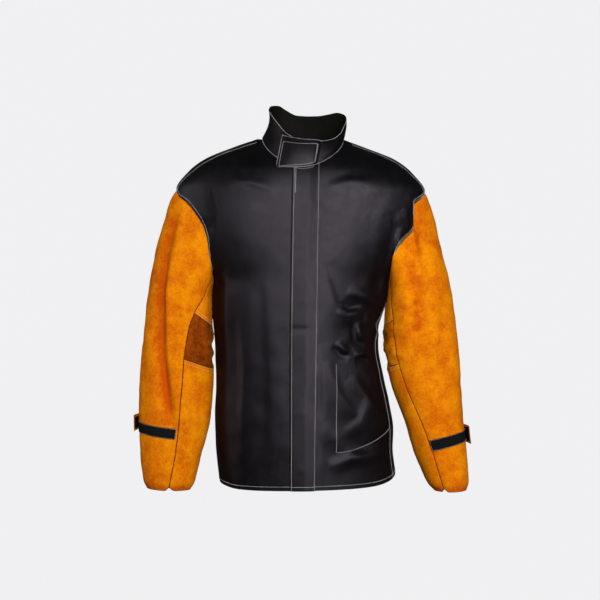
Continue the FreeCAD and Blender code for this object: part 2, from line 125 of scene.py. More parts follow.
def half_turn(angle: Array) -> Array:
    """Returns the same angles as degrees from -180 to 180."""
    return (angle + 180) % 360 - 180


def rumple(points: Array, size: float, seed: float, scale: Point = (1.0, 1.0, 1.0)) -> Array:
    """Smooth noise over points.

    Args:
        points: positions in millimetres, of any shape ending in 3.
        size: the distance between bumps.
        seed: a shift that gives another pattern.
        scale: a factor on x, y and z; less than one draws the bumps out.

    Returns:
        A value from about -1 to 1 for each point.
    """
    flat = (points * np.array(scale)).reshape(-1, 3) / size + seed
    return np.array([noise.noise(Vector(p)) for p in flat]).reshape(points.shape[:-1])


def along_path(points: Array, path: Array) -> tuple[Array, Array]:
    """Finds where points lie against a path on a flat cloth.

    Args:
        points: positions of shape (..., 2).
        path: the path's corners, of shape (n, 2).

    Returns:
        The signed distance from the path, positive to its left, and the share of its length at the foot.
    """
    steps = np.diff(path, axis=0)
    lengths = np.maximum(np.linalg.norm(steps, axis=1), 1e-9)
    begun = np.concatenate([[0.0], np.cumsum(lengths)])
    best = np.full(points.shape[:-1], 1e9)
    signed, share = best.copy(), np.zeros_like(best)
    for a, step, length, start in zip(path[:-1], steps, lengths, begun):
        rel = points - a
        t = np.clip((rel @ step) / length**2, 0.0, 1.0)
        off = rel - t[..., None] * step
        away = np.linalg.norm(off, axis=-1)
        side = np.sign(step[0] * rel[..., 1] - step[1] * rel[..., 0])
        near = away < best
        best = np.where(near, away, best)
        signed = np.where(near, away * side, signed)
        share = np.where(near, (start + t * length) / begun[-1], share)
    return signed, share


def mirrored(turn: Array, side: int, front: bool) -> Array:
    """Returns turns of the wearer's left side, or the same places on the right if side is -1."""
    if side > 0:
        return turn
    return -180 - turn if front else 180 - turn


FOLD_TAPER = 0.6  # less than one keeps a fold's height nearly up to its ends
FOLD_REACH = 3.0  # a fold dies out this many gentle widths away
HOLLOW_WIDTH = 3.2  # the hollow's width, in steep widths


@dataclass(frozen=True)
class Fold:
    """A fold in cloth: a ridge along a path, steep into a hollow at its left and gentle at its right."""

    path: tuple[tuple[float, float], ...]
    height: float
    steep: float
    gentle: float = 16.0
    hollow: float = 0.7

    def lift(self, places: Array) -> Array:
        """Returns how far the fold raises each flat place."""
        away, share = along_path(places, np.array(self.path, float))
        taper = np.sin(np.pi * np.clip(share, 0.0, 1.0)) ** FOLD_TAPER
        beyond = np.maximum(np.abs(away) - FOLD_REACH * self.gentle, 0.0)
        left = (1 + self.hollow) * np.exp(-((away / self.steep) ** 2))
        left -= self.hollow * np.exp(-((away / (HOLLOW_WIDTH * self.steep)) ** 2))
        right = np.exp(-((away / self.gentle) ** 2))
        return self.height * taper * np.where(away > 0, left, right) * np.exp(-beyond)


# ---- the three forms ----------------------------------------------------------------------------
class Form:
    """A surface that pieces lie on, with two coordinates of its own."""

    steps: tuple[float, float] = (0.4, 0.4)

    def base(self, a: Array, b: Array) -> Array:
        """Returns the bare surface's points."""
        raise NotImplementedError

    def middle(self, a: Array, b: Array) -> Array:
        """Returns points inside the form, which its normals lead away from."""
        raise NotImplementedError

    def ripple(self, a: Array, b: Array, points: Array) -> Array:
        """Returns how far folds and creases raise the cloth."""
        raise NotImplementedError

    def normal(self, a: Array, b: Array) -> Array:
        """Returns the bare surface's outward normals."""
        da, db = self.steps
        across = self.base(a + da, b) - self.base(a - da, b)
        along = self.base(a, b + db) - self.base(a, b - db)
        n = unit(np.cross(across, along))
        inward = np.sum(n * (self.base(a, b) - self.middle(a, b)), axis=-1) < 0
        return np.where(inward[..., None], -n, n)

    def at(self, a: Array, b: Array, lift: Array | float = 0.0) -> Array:
        """Returns points of the folded cloth, raised by lift."""
        a, b = np.broadcast_arrays(np.asarray(a, float), np.asarray(b, float))
        points = self.base(a, b)
        rise = self.ripple(a, b, points) + lift
        return points + self.normal(a, b) * rise[..., None]


# Heights, and distances from the middle, where no other meaning is given.
NECK_FRONT_Z, NECK_SIDE_Z, NAPE_Z = -50.0, 25.0, 14.0
TIP_Z, ARMPIT_Z = -91.0, -295.0
SEAM_NECK_ANGLE, SEAM_TIP_TURN, SEAM_TIP_Z = 84.0, -10.0, -96.0
NECK_MIDDLE, NECK_RADIUS = 4.0, 91.0
SHOULDER_TILT, TILT_START, TILT_SPAN = 0.011, -240.0, 150.0
SIDES_TOP = -245.0  # the two sides have the same width from here up
SHOULDER_DEPTH = 60.0  # how far the middle lies below the shoulders
SIDE_FADE = 18.0  # front and back folds die out this near the sides
LOOSE_START, LOOSE_SPAN, TIGHT_SHARE = -120.0, 200.0, 0.25  # the cloth hangs looser from here down
PLACKET_MIDDLE, PLACKET_HALF, PLACKET_CALM = 4.0, 30.0, 0.85  # the closed fronts fold less
# The height, half width, depth in front and behind, and squareness of the body's sections.
SECTIONS = (
    (-757, 192, 147, 132, 2.30), (-650, 194, 143.5, 130, 2.30), (-560, 190, 140, 127, 2.30),
    (-450, 184, 135.5, 125, 2.35), (-370, 184, 132, 129, 2.40), (-295, 195, 128, 134, 2.40),
    (-245, 222, 125, 136, 2.40), (-200, 248, 121.5, 136, 2.35), (-150, 268, 117, 133, 2.25),
    (-91, 279, 110, 124, 2.10), (-50, 251, 101, 112, 1.90), (-22, 215, 84, 100, 1.65),
    (5, 150, 55, 84, 1.40), (21, 106, 26, 66, 1.25), (28, 88, 10, 50, 1.20),
)
# Half widths by height, for the wearer's left (1) and right (-1).
SIDE_WIDTHS: dict[int, Keys] = {
    1: ((-757, 214), (-718, 211), (-671, 206), (-625, 208), (-560, 198), (-503, 184), (-440, 173),
        (-400, 173), (-370, 182), (-336, 193), (-295, 196), (-245, 222)),
    -1: ((-757, 178), (-729, 184), (-653, 192), (-600, 193), (-520, 189), (-450, 191), (-334, 200),
         (-295, 196), (-245, 222)),
}


class BodyForm(Form):
    """The cotton body. a is the turn, -90 at the centre front and 0 at the wearer's left; b is the height."""

    def __init__(self, folds_front: Sequence[Fold], folds_back: Sequence[Fold]) -> None:
        """Args:
            folds_front: folds drawn in the front view.
            folds_back: folds drawn in the same view, on the back.
        """
        self.half, self.front, self.rear, self.square = (
            Profile([(row[0], row[k]) for row in SECTIONS]) for k in (1, 2, 3, 4)
        )
        self.sides = {side: Profile(keys) for side, keys in SIDE_WIDTHS.items()}
        self.folds_front, self.folds_back = tuple(folds_front), tuple(folds_back)

    def neck_height(self, x: Array) -> Array:
        """Returns the height of the neck seam in front, at distances from the middle."""
        return self.neck(np.degrees(np.arcsin(np.clip((x - NECK_MIDDLE) / NECK_RADIUS, -1.0, 1.0))))[1]

    def width(self, z: Array, side: Array) -> Array:
        """Returns the half width towards one side, at heights."""
        low = np.where(side > 0, self.sides[1](z), self.sides[-1](z))
        return np.where(z < SIDES_TOP, low, self.half(z))

    def base(self, a: Array, b: Array) -> Array:
        t = np.radians(a)
        c, s = np.cos(t), np.sin(t)
        x = self.width(b, c) * np.sign(c) * np.abs(c) ** (2 / self.square(b))
        depth = np.where(s < 0, self.front(b), self.rear(b))
        tilt = SHOULDER_TILT * x * ease((b - TILT_START) / TILT_SPAN)
        return np.stack([x, depth * s, b - tilt], axis=-1)

    def middle(self, a: Array, b: Array) -> Array:
        return np.stack([0 * a, 0 * a, np.where(b > TIP_Z, b - SHOULDER_DEPTH, b)], axis=-1)

    def turn(self, x: Array | float, z: Array | float, front: bool = True) -> Array:
        """Returns the turn at which the body passes x."""
        x, z = np.broadcast_arrays(np.asarray(x, float), np.asarray(z, float))
        share = np.minimum(1.0, np.abs(x) / self.width(z, x)) ** (self.square(z) / 2)
        away = np.degrees(np.arccos(np.sign(x) * share))
        return -away if front else away

    def ripple(self, a: Array, b: Array, points: Array) -> Array:
        x, y, view = points[..., 0], points[..., 1], points[..., [0, 2]]
        rise = np.zeros(a.shape)
        for folds, outward in ((self.folds_front, -y), (self.folds_back, y)):
            for fold in folds:
                rise += fold.lift(view) * ease(outward / SIDE_FADE)
        loose = TIGHT_SHARE + (1 - TIGHT_SHARE) * ease((LOOSE_START - b) / LOOSE_SPAN)
        soft = rumple(points, size=85, seed=3.1, scale=(1.0, 1.0, 0.45)) * 2.6
        soft += rumple(points, size=38, seed=7.7) * 0.8
        by_placket = np.exp(-(((x - PLACKET_MIDDLE) / PLACKET_HALF) ** 4))
        return (rise + soft * loose) * np.where(y < 0, 1.0 - PLACKET_CALM * by_placket, 1.0)

    def neck(self, angle: Array | float) -> tuple[Array, Array]:
        """Returns turn and height of the neck seam, by degrees from the centre front towards the left."""
        angle = np.asarray(angle, float)
        around = np.radians(np.abs(half_turn(angle)))
        climb = (1 - np.cos(np.minimum(around, np.pi / 2))) ** 0.8
        front = NECK_FRONT_Z + (NECK_SIDE_Z - NECK_FRONT_Z) * climb
        back = NAPE_Z + (NECK_SIDE_Z - NAPE_Z) * np.sin(around) ** 2
        z = np.where(around < np.pi / 2, front, back)
        x = NECK_MIDDLE + NECK_RADIUS * np.sin(np.radians(angle))
        turn = np.where(around < np.pi / 2, self.turn(x, z, True), self.turn(x, z, False))
        return turn, z


class CollarForm(Form):
    """The stand collar. a is the angle from the centre front to the left; b is a share of its height."""

    steps = (0.4, 0.004)
    rim_middle, rim_half, rim_front, rim_back = 15.0, 87.0, 88.0, 62.0
    bow_out, bow_in_right = 3.5, 10.5
    middle_low, middle_rise = -20.0, 90.0
    top_z = Profile((
        (-180, 84.5), (-163, 86), (-148, 95), (-130, 105), (-110, 102), (-90, 92), (-68, 78), (-46, 51),
        (-32, 31), (-17, 20), (0, 14.5), (18, 13.5), (36, 18), (57, 35), (70, 55), (90, 72), (112, 84),
        (132, 89.5), (148, 87), (165, 84.5), (180, 84.5),
    ))

    def __init__(self, body: BodyForm) -> None:
        """Args:
            body: the form whose neck seam the collar stands on.
        """
        self.body = body

    def base(self, a: Array, b: Array) -> Array:
        turn, z = self.body.neck(a)
        low = self.body.base(turn, z) + np.array([0.0, 0.0, 1.0])
        r = np.radians(a)
        sin, cos = np.sin(r), np.cos(r)
        depth = np.where(cos > 0, self.rim_front, self.rim_back)
        across = self.rim_middle + self.rim_half * sin
        high = np.stack([across, -depth * cos, self.top_z(half_turn(a))], axis=-1)
        b = np.asarray(b, float)[..., None]
        bow = self.bow_out - self.bow_in_right * np.clip(-sin, 0.0, 1.0)[..., None] ** 2
        bow = bow * np.sin(np.pi * b)
        return low * (1 - b) + high * b + bow * np.stack([sin, -cos, 0 * sin], axis=-1)

    def middle(self, a: Array, b: Array) -> Array:
        return np.stack([0 * a, 0 * a, self.middle_low + self.middle_rise * b], axis=-1)

    def ripple(self, a: Array, b: Array, points: Array) -> Array:
        swell = rumple(points, size=48, seed=11.3) * 1.1 * np.sin(np.pi * np.clip(b, 0.0, 1.0))
        return swell + rumple(points, size=20, seed=5.2) * 0.25


# The armhole's distance from the middle by height, in front of the wearer's left (1) and right (-1) arm.
ARMHOLE_FRONT: dict[int, Keys] = {
    1: ((-295, 196), (-262, 198), (-238, 201), (-216, 210), (-204, 221), (-190, 236), (-176, 246),
        (-150, 247), (-122, 248), (-106, 261), (-91, 279)),
    -1: ((-295, 196), (-260, 196), (-215, 199), (-172, 214), (-135, 240), (-110, 262), (-91, 279)),
}
ARMHOLE_BACK: Keys = (
    (-295, 196), (-255, 202), (-215, 220), (-172, 240), (-130, 260), (-105, 272), (-91, 279),
)
# The share of the length, x and z of the outer side, x and z of the inner side, middle y and half depth.
SLEEVE_RINGS = {
    1: ((0.00, 280, -91, 196, -295, 0, 85), (0.10, 300, -150, 193, -322, -1, 83),
        (0.22, 320, -240, 187, -362, -3, 76), (0.37, 337, -340, 184, -425, -6, 70),
        (0.54, 351, -462, 197, -512, -12, 65), (0.72, 362, -585, 228, -602, -20, 58),
        (0.87, 369, -675, 257, -690, -28, 51), (1.00, 372, -756, 290, -761, -35, 43)),
    -1: ((0.00, 283, -90, 196, -295, 0, 85), (0.04, 297, -116, 196, -308, -1, 84),
         (0.10, 308, -156, 197, -322, -1, 83), (0.22, 328, -232, 197, -362, -3, 77),
         (0.37, 344, -336, 197, -425, -6, 71), (0.54, 356, -466, 196, -515, -12, 66),
         (0.72, 360, -590, 203, -600, -20, 60), (0.87, 357, -678, 222, -684, -28, 53),
         (1.00, 347, -753, 240, -757, -35, 45)),
}
SLEEVE_LENGTH, MM_PER_DEGREE = 675.0, 1.12
ARMHOLE_REACH = 0.32  # the share of a sleeve's length over which it takes the armhole's shape
ALONG_SLEEVE = np.array([0.93, 0.0, -0.37])


class SleeveForm(Form):
    """A sleeve. a is the angle, 0 outside and 90 in front; b is the share of its length from the armhole."""

    steps = (0.4, 0.003)
    loose_from = 0.10
    crook_half, crook_fade = 82.0, 22.0
    crook_start, crook_end, crook_end_fade = 0.28, 0.52, 0.05
    curl, curl_start, curl_span = 6.0, 0.955, 0.05

    def __init__(self, side: int, body: BodyForm, folds: Sequence[Fold]) -> None:
        """Args:
            side: 1 for the wearer's left, -1 for the right.
            body: the form that the sleeve is sewn to.
            folds: folds drawn on the sleeve laid flat, in degrees and shares of its length.
        """
        self.side, self.body = side, body
        self.rings = [Profile([(row[0], row[k]) for row in SLEEVE_RINGS[side]]) for k in range(1, 7)]
        self.hole_front, self.hole_back = Profile(ARMHOLE_FRONT[side]), Profile(ARMHOLE_BACK)
        self.folds = [
            replace(f, path=tuple((x * MM_PER_DEGREE, y * SLEEVE_LENGTH) for x, y in f.path)) for f in folds
        ]

    def ring(self, a: Array, b: Array) -> Array:
        """Returns points of the plain tapered tube."""
        xo, zo, xi, zi, yc, ry = (p(b) for p in self.rings)
        c, s = np.cos(np.radians(a)), np.sin(np.radians(a))
        x = (xo + xi) / 2 + (xo - xi) / 2 * c
        z = (zo + zi) / 2 + (zo - zi) / 2 * c
        return np.stack([x, yc - ry * s, z], axis=-1)

    def armhole(self, a: Array) -> Array:
        """Returns points of the armhole seam."""
        c, s = np.cos(np.radians(a)), np.sin(np.radians(a))
        z = (TIP_Z + ARMPIT_Z) / 2 + (TIP_Z - ARMPIT_Z) / 2 * c
        x = np.where(s > 0, self.hole_front(z), self.hole_back(z))
        front = mirrored(self.body.turn(x, z, True), self.side, True)
        back = mirrored(self.body.turn(x, z, False), self.side, False)
        return self.body.base(np.where(s > 0, front, back), z) * np.array([self.side, 1.0, 1.0])

    def base(self, a: Array, b: Array) -> Array:
        a, b = np.broadcast_arrays(a, b)
        down = np.clip(b, 0.0, 1.0)
        keep = ease(1 - down / ARMHOLE_REACH)[..., None]
        over = np.clip(b, -1.0, 0.0)[..., None] * SLEEVE_LENGTH * ALONG_SLEEVE
        p = self.ring(a, down) + (self.armhole(a) - self.ring(a, 0 * b)) * keep + over
        return p * np.array([self.side, 1.0, 1.0])

    def middle(self, a: Array, b: Array) -> Array:
        return (self.base(0 * a, b) + self.base(0 * a + 180, b)) / 2

    def ripple(self, a: Array, b: Array, points: Array) -> Array:
        flat = np.stack([half_turn(a) * MM_PER_DEGREE, b * SLEEVE_LENGTH], axis=-1)
        rise = np.zeros(a.shape)
        for fold in self.folds:
            rise += fold.lift(flat)
        soft = rumple(points, size=70, seed=21.7 + self.side, scale=(1.0, 1.0, 0.5)) * 3.0
        soft += rumple(points, size=30, seed=2.9) * 1.2 + rumple(points, size=13, seed=9.4) * 0.3
        gathers = self.crook(a, b) * self.gathered(points)
        curl = self.curl * ease((b - self.curl_start) / self.curl_span) ** 2
        return (rise + soft + gathers) * ease(b / self.loose_from) - curl

    def crook(self, a: Array, b: Array) -> Array:
        """Returns 1 at the inside of the elbow and 0 away from it."""
        from_inside = np.abs((a % 360) - 180)
        ends = ease((b - self.crook_start) / self.crook_end_fade)
        ends = ends * ease((self.crook_end - b) / self.crook_end_fade)
        return ease((self.crook_half - from_inside) / self.crook_fade) * ends

    def gathered(self, points: Array) -> Array:
        """Returns the height of small crossed creases."""
        broad = rumple(points, size=34, seed=1.7 + self.side, scale=(0.7, 0.7, 1.5))
        fine = rumple(points, size=17, seed=4.4, scale=(0.8, 0.8, 1.3))
        return (1.0 - 2.2 * np.abs(broad)) * 3.6 + (1.0 - 2.4 * np.abs(fine)) * 1.5 - 1.5


# ---- meshes -------------------------------------------------------------------------------------
HOLLOW_SHADE_DEPTH = 6.5  # a hollow this deep gets the full painted shade
INNER_ROUND = 0.6  # how much of the outer face's rounding the inner face has
EDGE_FADE = 3.0  # how far wear reaches in from a cut edge
SMOOTH_ANGLE, RIM_ANGLE = 40.0, 60.0


@dataclass
class Panel:
    """A cut piece of cloth or leather: a grid of points on a form, with its thickness to the inside."""

    form: Form
    a: Array
    b: Array
    lift: Array | float = 0.0
    thick: float = 1.5
    round_edge: float = 0.8
    inner_lift: Optional[Array] = None
    outer: Array = field(init=False)
    normal: Array = field(init=False)
    inner: Array = field(init=False)
    edge: Array = field(init=False)
    hollow_shade: Array = field(init=False)

    def __post_init__(self) -> None:
        """Works out the points, how far each is from the nearest cut edge, and how deep in a hollow, for
        painted shade.
        """
        flat = self.form.at(self.a, self.b, self.lift)
        bare = self.form.at(self.a, self.b) - self.form.base(self.a, self.b)
        rise = np.sum(bare * self.form.normal(self.a, self.b), axis=-1)
        # how deep each point lies in a fold's hollow, which the leather darkens as painted shade
        self.hollow_shade = np.clip(-rise / HOLLOW_SHADE_DEPTH, 0.0, 1.0)
        self.run_a, self.run_b = run_along(flat, 1), run_along(flat, 0)
        left, right = self.run_a, self.run_a[:, -1:] - self.run_a
        low, high = self.run_b, self.run_b[-1:] - self.run_b
        self.edge = np.minimum(np.minimum(left, right), np.minimum(low, high))
        r = self.round_edge
        inset = np.clip(r - self.edge, 0.0, r)
        drop = r - np.sqrt(np.maximum(r * r - inset * inset, 0.0))
        self.normal = self.form.normal(self.a, self.b)
        self.outer = flat - self.normal * drop[..., None]
        under = flat - self.normal * self.thick
        if self.inner_lift is not None:
            under = self.form.at(self.a, self.b, self.inner_lift)
        self.inner = under + self.normal * (drop * INNER_ROUND)[..., None]

    def line(self, side: str, inset: float, start: float = 0.0, end: float = 1.0) -> tuple[Array, Array]:
        """A line along one edge of the panel.

        Args:
            side: left, right, low or high, as the grid runs.
            inset: the distance in from the edge.
            start: where the line starts, as a share of the edge.
            end: where it ends.

        Returns:
            The line's points on the outer face and their normals.
        """
        outer, normal, run = self.outer, self.normal, self.run_a
        if side in ("low", "high"):
            outer, normal, run = (np.swapaxes(v, 0, 1) for v in (outer, normal, self.run_b))
        if side in ("right", "high"):
            outer, normal, run = outer[:, ::-1], normal[:, ::-1], (run[:, -1:] - run)[:, ::-1]
        points, normals = [], []
        rows = range(int(start * (len(run) - 1)), int(math.ceil(end * (len(run) - 1))) + 1)
        for i in rows:
            k = int(np.clip(np.searchsorted(run[i], inset) - 1, 0, run.shape[1] - 2))
            t = (inset - run[i, k]) / max(run[i, k + 1] - run[i, k], 1e-9)
            points.append(outer[i, k] * (1 - t) + outer[i, k + 1] * t)
            normals.append(normal[i, k] * (1 - t) + normal[i, k + 1] * t)
        return np.array(points), unit(np.array(normals))


def mesh_object(name: str, points: Array, faces: list[Array], uv: Optional[Array] = None,
                marks: Optional[dict[str, Array]] = None, sharp: float = SMOOTH_ANGLE) -> bpy.types.Object:
    """Makes a mesh object.

    Args:
        name: the piece's name.
        points: positions in millimetres.
        faces: arrays of corner numbers, one array for each number of corners.
        uv: a place on the flat cloth in metres, for each point.
        marks: values from 0 to 1 for each point, by the name that the finishes read them under.
        sharp: edges that turn more than this many degrees are drawn sharp.

    Returns:
        The object, linked to the scene.
    """
    mesh = bpy.data.meshes.new(name)
    mesh.vertices.add(len(points))
    mesh.vertices.foreach_set("co", (points * MM).astype(np.float32).ravel())
    corners = np.concatenate([f.ravel() for f in faces])
    counts = np.concatenate([np.full(len(f), f.shape[1]) for f in faces])
    mesh.loops.add(len(corners))
    mesh.loops.foreach_set("vertex_index", corners.astype(np.int32))
    mesh.polygons.add(len(counts))
    mesh.polygons.foreach_set("loop_start", np.concatenate([[0], np.cumsum(counts)[:-1]]).astype(np.int32))
    if uv is not None:
        layer = mesh.uv_layers.new(name="flat")
        layer.data.foreach_set("uv", uv[corners].astype(np.float32).ravel())
    for label, values in (marks or {}).items():
        layer = mesh.attributes.new(label, "FLOAT", "POINT")
        layer.data.foreach_set("value", values.astype(np.float32))
    mesh.update(calc_edges=True)
    mesh.validate()
    mesh.polygons.foreach_set("use_smooth", np.ones(len(mesh.polygons), bool))
    mesh.set_sharp_from_angle(angle=math.radians(sharp))
    piece = bpy.data.objects.new(name, mesh)
    bpy.context.scene.collection.objects.link(piece)
    return piece


def grid_faces(rows: int, columns: int, first: int, flip: bool) -> Array:
    """Returns the quads of a grid of points, numbered from first."""
    n = (np.arange(rows * columns) + first).reshape(rows, columns)
    quads = np.stack([n[:-1, :-1], n[:-1, 1:], n[1:, 1:], n[1:, :-1]], axis=-1).reshape(-1, 4)
    return quads[:, ::-1] if flip else quads


def panel_mesh(name: str, panel: Panel) -> bpy.types.Object:
    """Makes the closed mesh of a panel: outer face, inner face and the cut edges between them."""
    rows, columns = panel.a.shape
    count = rows * columns
    points = np.concatenate([panel.outer.reshape(-1, 3), panel.inner.reshape(-1, 3)])
    n = np.arange(count).reshape(rows, columns)
    rim = np.concatenate([n[0, :], n[1:, -1], n[-1, -2::-1], n[-2:0:-1, 0]])
    nxt = np.roll(rim, -1)
    du = panel.outer[rows // 2, 1] - panel.outer[rows // 2, 0]
    dv = panel.outer[rows // 2 + 1, 0] - panel.outer[rows // 2, 0]
    flip = float(np.dot(np.cross(du, dv), panel.normal[rows // 2, 0])) < 0
    walls = np.stack([nxt, rim, rim + count, nxt + count], axis=-1)
    if flip:
        walls = walls[:, ::-1]
    faces = [grid_faces(rows, columns, 0, flip), grid_faces(rows, columns, count, not flip), walls]
    uv = np.stack([panel.run_a, panel.run_b], axis=-1).reshape(-1, 2) * MM
    # edge_near marks the cut edges; the hollow mark carries painted shade for the leather
    marks = {"edge_near": np.exp(-panel.edge / EDGE_FADE), "hollow_shade": panel.hollow_shade}
    marks = {label: np.tile(values.ravel(), 2) for label, values in marks.items()}
    return mesh_object(name, points, faces, np.tile(uv, (2, 1)), marks, RIM_ANGLE)


MARGIN = np.array([0.0, 0.12, 0.35, 0.8, 1.8, 3.5])  # places that round a panel's edge


def shares(length: float, pitch: float) -> Array:
    """Returns places from 0 to 1 along a length, a pitch apart, with closer ones by the ends."""
    start = MARGIN[-1] + pitch * 0.7
    middle = np.linspace(start, length - start, max(2, int(length / pitch)))
    return np.concatenate([MARGIN, middle, length - MARGIN[::-1]]) / length


@dataclass
class Border:
    """One side of a panel's outline, as places on a form."""

    form: Form
    places: Array

    def __post_init__(self) -> None:
        """Works out how far along the border each place lies."""
        self.run = run_along(self.form.base(self.places[:, 0], self.places[:, 1]))

    @property
    def length(self) -> float:
        """Returns the border's length in millimetres."""
        return float(self.run[-1])

    def at(self, share: Array) -> Array:
        """Returns places at shares of the border's length."""
        return between(share * self.run[-1], self.run, self.places)


def fill(low: Border, high: Border, left: Border, right: Border, pitch: float) -> tuple[Array, Array]:
    """Fills an outline of four borders with a grid.

    Args:
        low: the lower border, from left to right.
        high: the upper border, from left to right.
        left: the left border, from low to high.
        right: the right border, from low to high.
        pitch: the grid's pitch.

    Returns:
        The two coordinates of each point.
    """
    u = shares(max(low.length, high.length), pitch)
    v = shares(max(left.length, right.length), pitch)
    lo, hi, le, ri = low.at(u), high.at(u), left.at(v), right.at(v)
    U, V = u[None, :, None], v[:, None, None]
    sides = (1 - U) * le[:, None] + U * ri[:, None]
    ends = (1 - V) * lo[None] + V * hi[None]
    corners = (1 - U) * (1 - V) * lo[0] + U * (1 - V) * lo[-1] + (1 - U) * V * hi[0] + U * V * hi[-1]
    grid = sides + ends - corners
    return grid[..., 0], grid[..., 1]


STITCH_RINGS = np.array([-0.5, -0.38, 0.0, 0.38, 0.5])  # places along a stitch, as shares of its length
STITCH_RISE = np.array([-0.45, 0.12, 0.3, 0.12, -0.45])  # its height, for a thread of RISE_RADIUS
STITCH_THICK = np.array([0.35, 0.9, 1.0, 0.9, 0.35])  # the thread's radius at each ring, as a share
RISE_RADIUS, STITCH_SLANT, THREAD_SIDES = 0.42, 0.5, 6


@dataclass
class Seamstress:
    """Sews lines of thread and gathers them into one piece."""

    radius: float = 0.52
    length: float = 3.4
    gap: float = 0.7
    rings: list[Array] = field(default_factory=list)

    def sew(self, points: Array, normals: Array) -> None:
        """Sews a line of stitches.

        Args:
            points: the line on the cloth's face.
            normals: the cloth's normals along it.
        """
        run = run_along(points)
        count = int(run[-1] / (self.length + self.gap))
        if count < 1:
            return
        start = (np.arange(count) + 0.5) * (run[-1] / count)
        where = np.clip(start[:, None] + STITCH_RINGS * self.length, 0.0, run[-1])
        place = between(where, run, points)
        up = unit(between(where, run, normals))
        ahead = unit(place[:, -1:] - place[:, :1])
        side = unit(np.cross(ahead, up))
        slant = (STITCH_RINGS * STITCH_SLANT * self.radius)[:, None] * side
        place = place + up * (STITCH_RISE * self.radius / RISE_RADIUS)[:, None] + slant
        around = (np.arange(THREAD_SIDES) * 2 * np.pi / THREAD_SIDES)[:, None]
        wall = np.cos(around) * side[:, :, None] + np.sin(around) * up[:, :, None]
        self.rings.append(place[:, :, None] + (STITCH_THICK * self.radius)[:, None, None] * wall)

    def edges(self, panel: Panel, *lines: tuple) -> None:
        """Sews lines along a panel's edges, each one given the way that Panel.line takes it."""
        for line in lines:
            self.sew(*panel.line(*line))

    def finish(self, name: str) -> bpy.types.Object:
        """Makes one piece of all the stitches."""
        rings = np.concatenate(self.rings)
        n = np.arange(rings.size // 3).reshape(rings.shape[:-1])
        after = np.roll(n, -1, axis=-1)
        walls = np.stack([n[:, :-1], after[:, :-1], after[:, 1:], n[:, 1:]], axis=-1).reshape(-1, 4)
        caps = np.concatenate([n[:, 0, ::-1], n[:, -1]])
        return mesh_object(name, rings.reshape(-1, 3), [walls, caps])


# ---- finishes -----------------------------------------------------------------------------------
class Nodes:
    """A short hand for building a material's or group's nodes."""

    def __init__(self, tree: bpy.types.NodeTree) -> None:
        """Args:
            tree: the node tree to build in.
        """
        self.tree = tree

    def add(self, kind: str, inputs: Optional[dict] = None, **settings: object) -> bpy.types.Node:
        """Adds a node.

        Args:
            kind: the node's type.
            inputs: values or output sockets for its inputs, by name or number.
            settings: values for its properties.

        Returns:
            The node.
        """
        node = self.tree.nodes.new(kind)
        for key, value in settings.items():
            setattr(node, key, value)
        self.feed(node, inputs or {})
        return node

    def feed(self, node: bpy.types.Node, inputs: dict) -> None:
        """Gives a node's inputs their values or links, by name or number."""
        for key, value in inputs.items():
            socket = node.inputs[key]
            if isinstance(value, bpy.types.NodeSocket):
                self.tree.links.new(value, socket)
            else:
                socket.default_value = value

    def use(self, tree: bpy.types.NodeTree, **inputs: object) -> bpy.types.bpy_prop_collection:
        """Adds a group and returns its outputs."""
        return self.add("ShaderNodeGroup", inputs, node_tree=tree).outputs

    def flat_place(self) -> bpy.types.NodeSocket:
        """Returns the place on the flat cloth, in metres."""
        return self.add("ShaderNodeUVMap", uv_map="flat").outputs[0]

    def solid_place(self) -> bpy.types.NodeSocket:
        """Returns the place in the piece's own space, in metres."""
        return self.add("ShaderNodeTexCoord").outputs["Object"]

    def mark(self, label: str) -> bpy.types.NodeSocket:
        """Returns one of the mesh's marks."""
        return self.add("ShaderNodeAttribute", attribute_name=label).outputs["Fac"]

    def stretch(self, vector: object, scale: Point) -> bpy.types.NodeSocket:
        """Returns a place scaled along each of its axes."""
        return self.add("ShaderNodeMapping", {"Vector": vector, "Scale": scale}).outputs[0]

    def bump(self, strength: float, distance: float, height: object) -> bpy.types.NodeSocket:
        """Returns a normal that follows a height, whose distance is in metres."""
        inputs = {"Strength": strength, "Distance": distance, "Height": height}
        return self.add("ShaderNodeBump", inputs).outputs[0]

    def math(self, operation: str, a: object, b: object = 0.0, c: object = 0.0) -> bpy.types.NodeSocket:
        """Returns the output of a Math node."""
        return self.add("ShaderNodeMath", {0: a, 1: b, 2: c}, operation=operation).outputs[0]

    def mix(self, share: object, a: object, b: object) -> bpy.types.NodeSocket:
        """Returns the mix of two colours, each one a socket or red, green and blue."""
        a, b = (colour if isinstance(colour, bpy.types.NodeSocket) else (*colour, 1) for colour in (a, b))
        return self.add("ShaderNodeMix", {0: share, 6: a, 7: b}, data_type="RGBA").outputs[2]

    def noise(self, vector: object, scale: object, detail: float = 3.0,
              rough: float = 0.55) -> bpy.types.NodeSocket:
        """Returns the value of a Noise texture."""
        inputs = {"Vector": vector, "Scale": scale, "Detail": detail, "Roughness": rough}
        return self.add("ShaderNodeTexNoise", inputs).outputs[0]

    def spread(self, value: object, low: float, high: float, to_low: float = 0.0,
               to_high: float = 1.0) -> bpy.types.NodeSocket:
        """Returns a value moved smoothly from one range to another."""
        inputs = {0: value, 1: low, 2: high, 3: to_low, 4: to_high}
        return self.add("ShaderNodeMapRange", inputs, interpolation_type="SMOOTHSTEP").outputs[0]


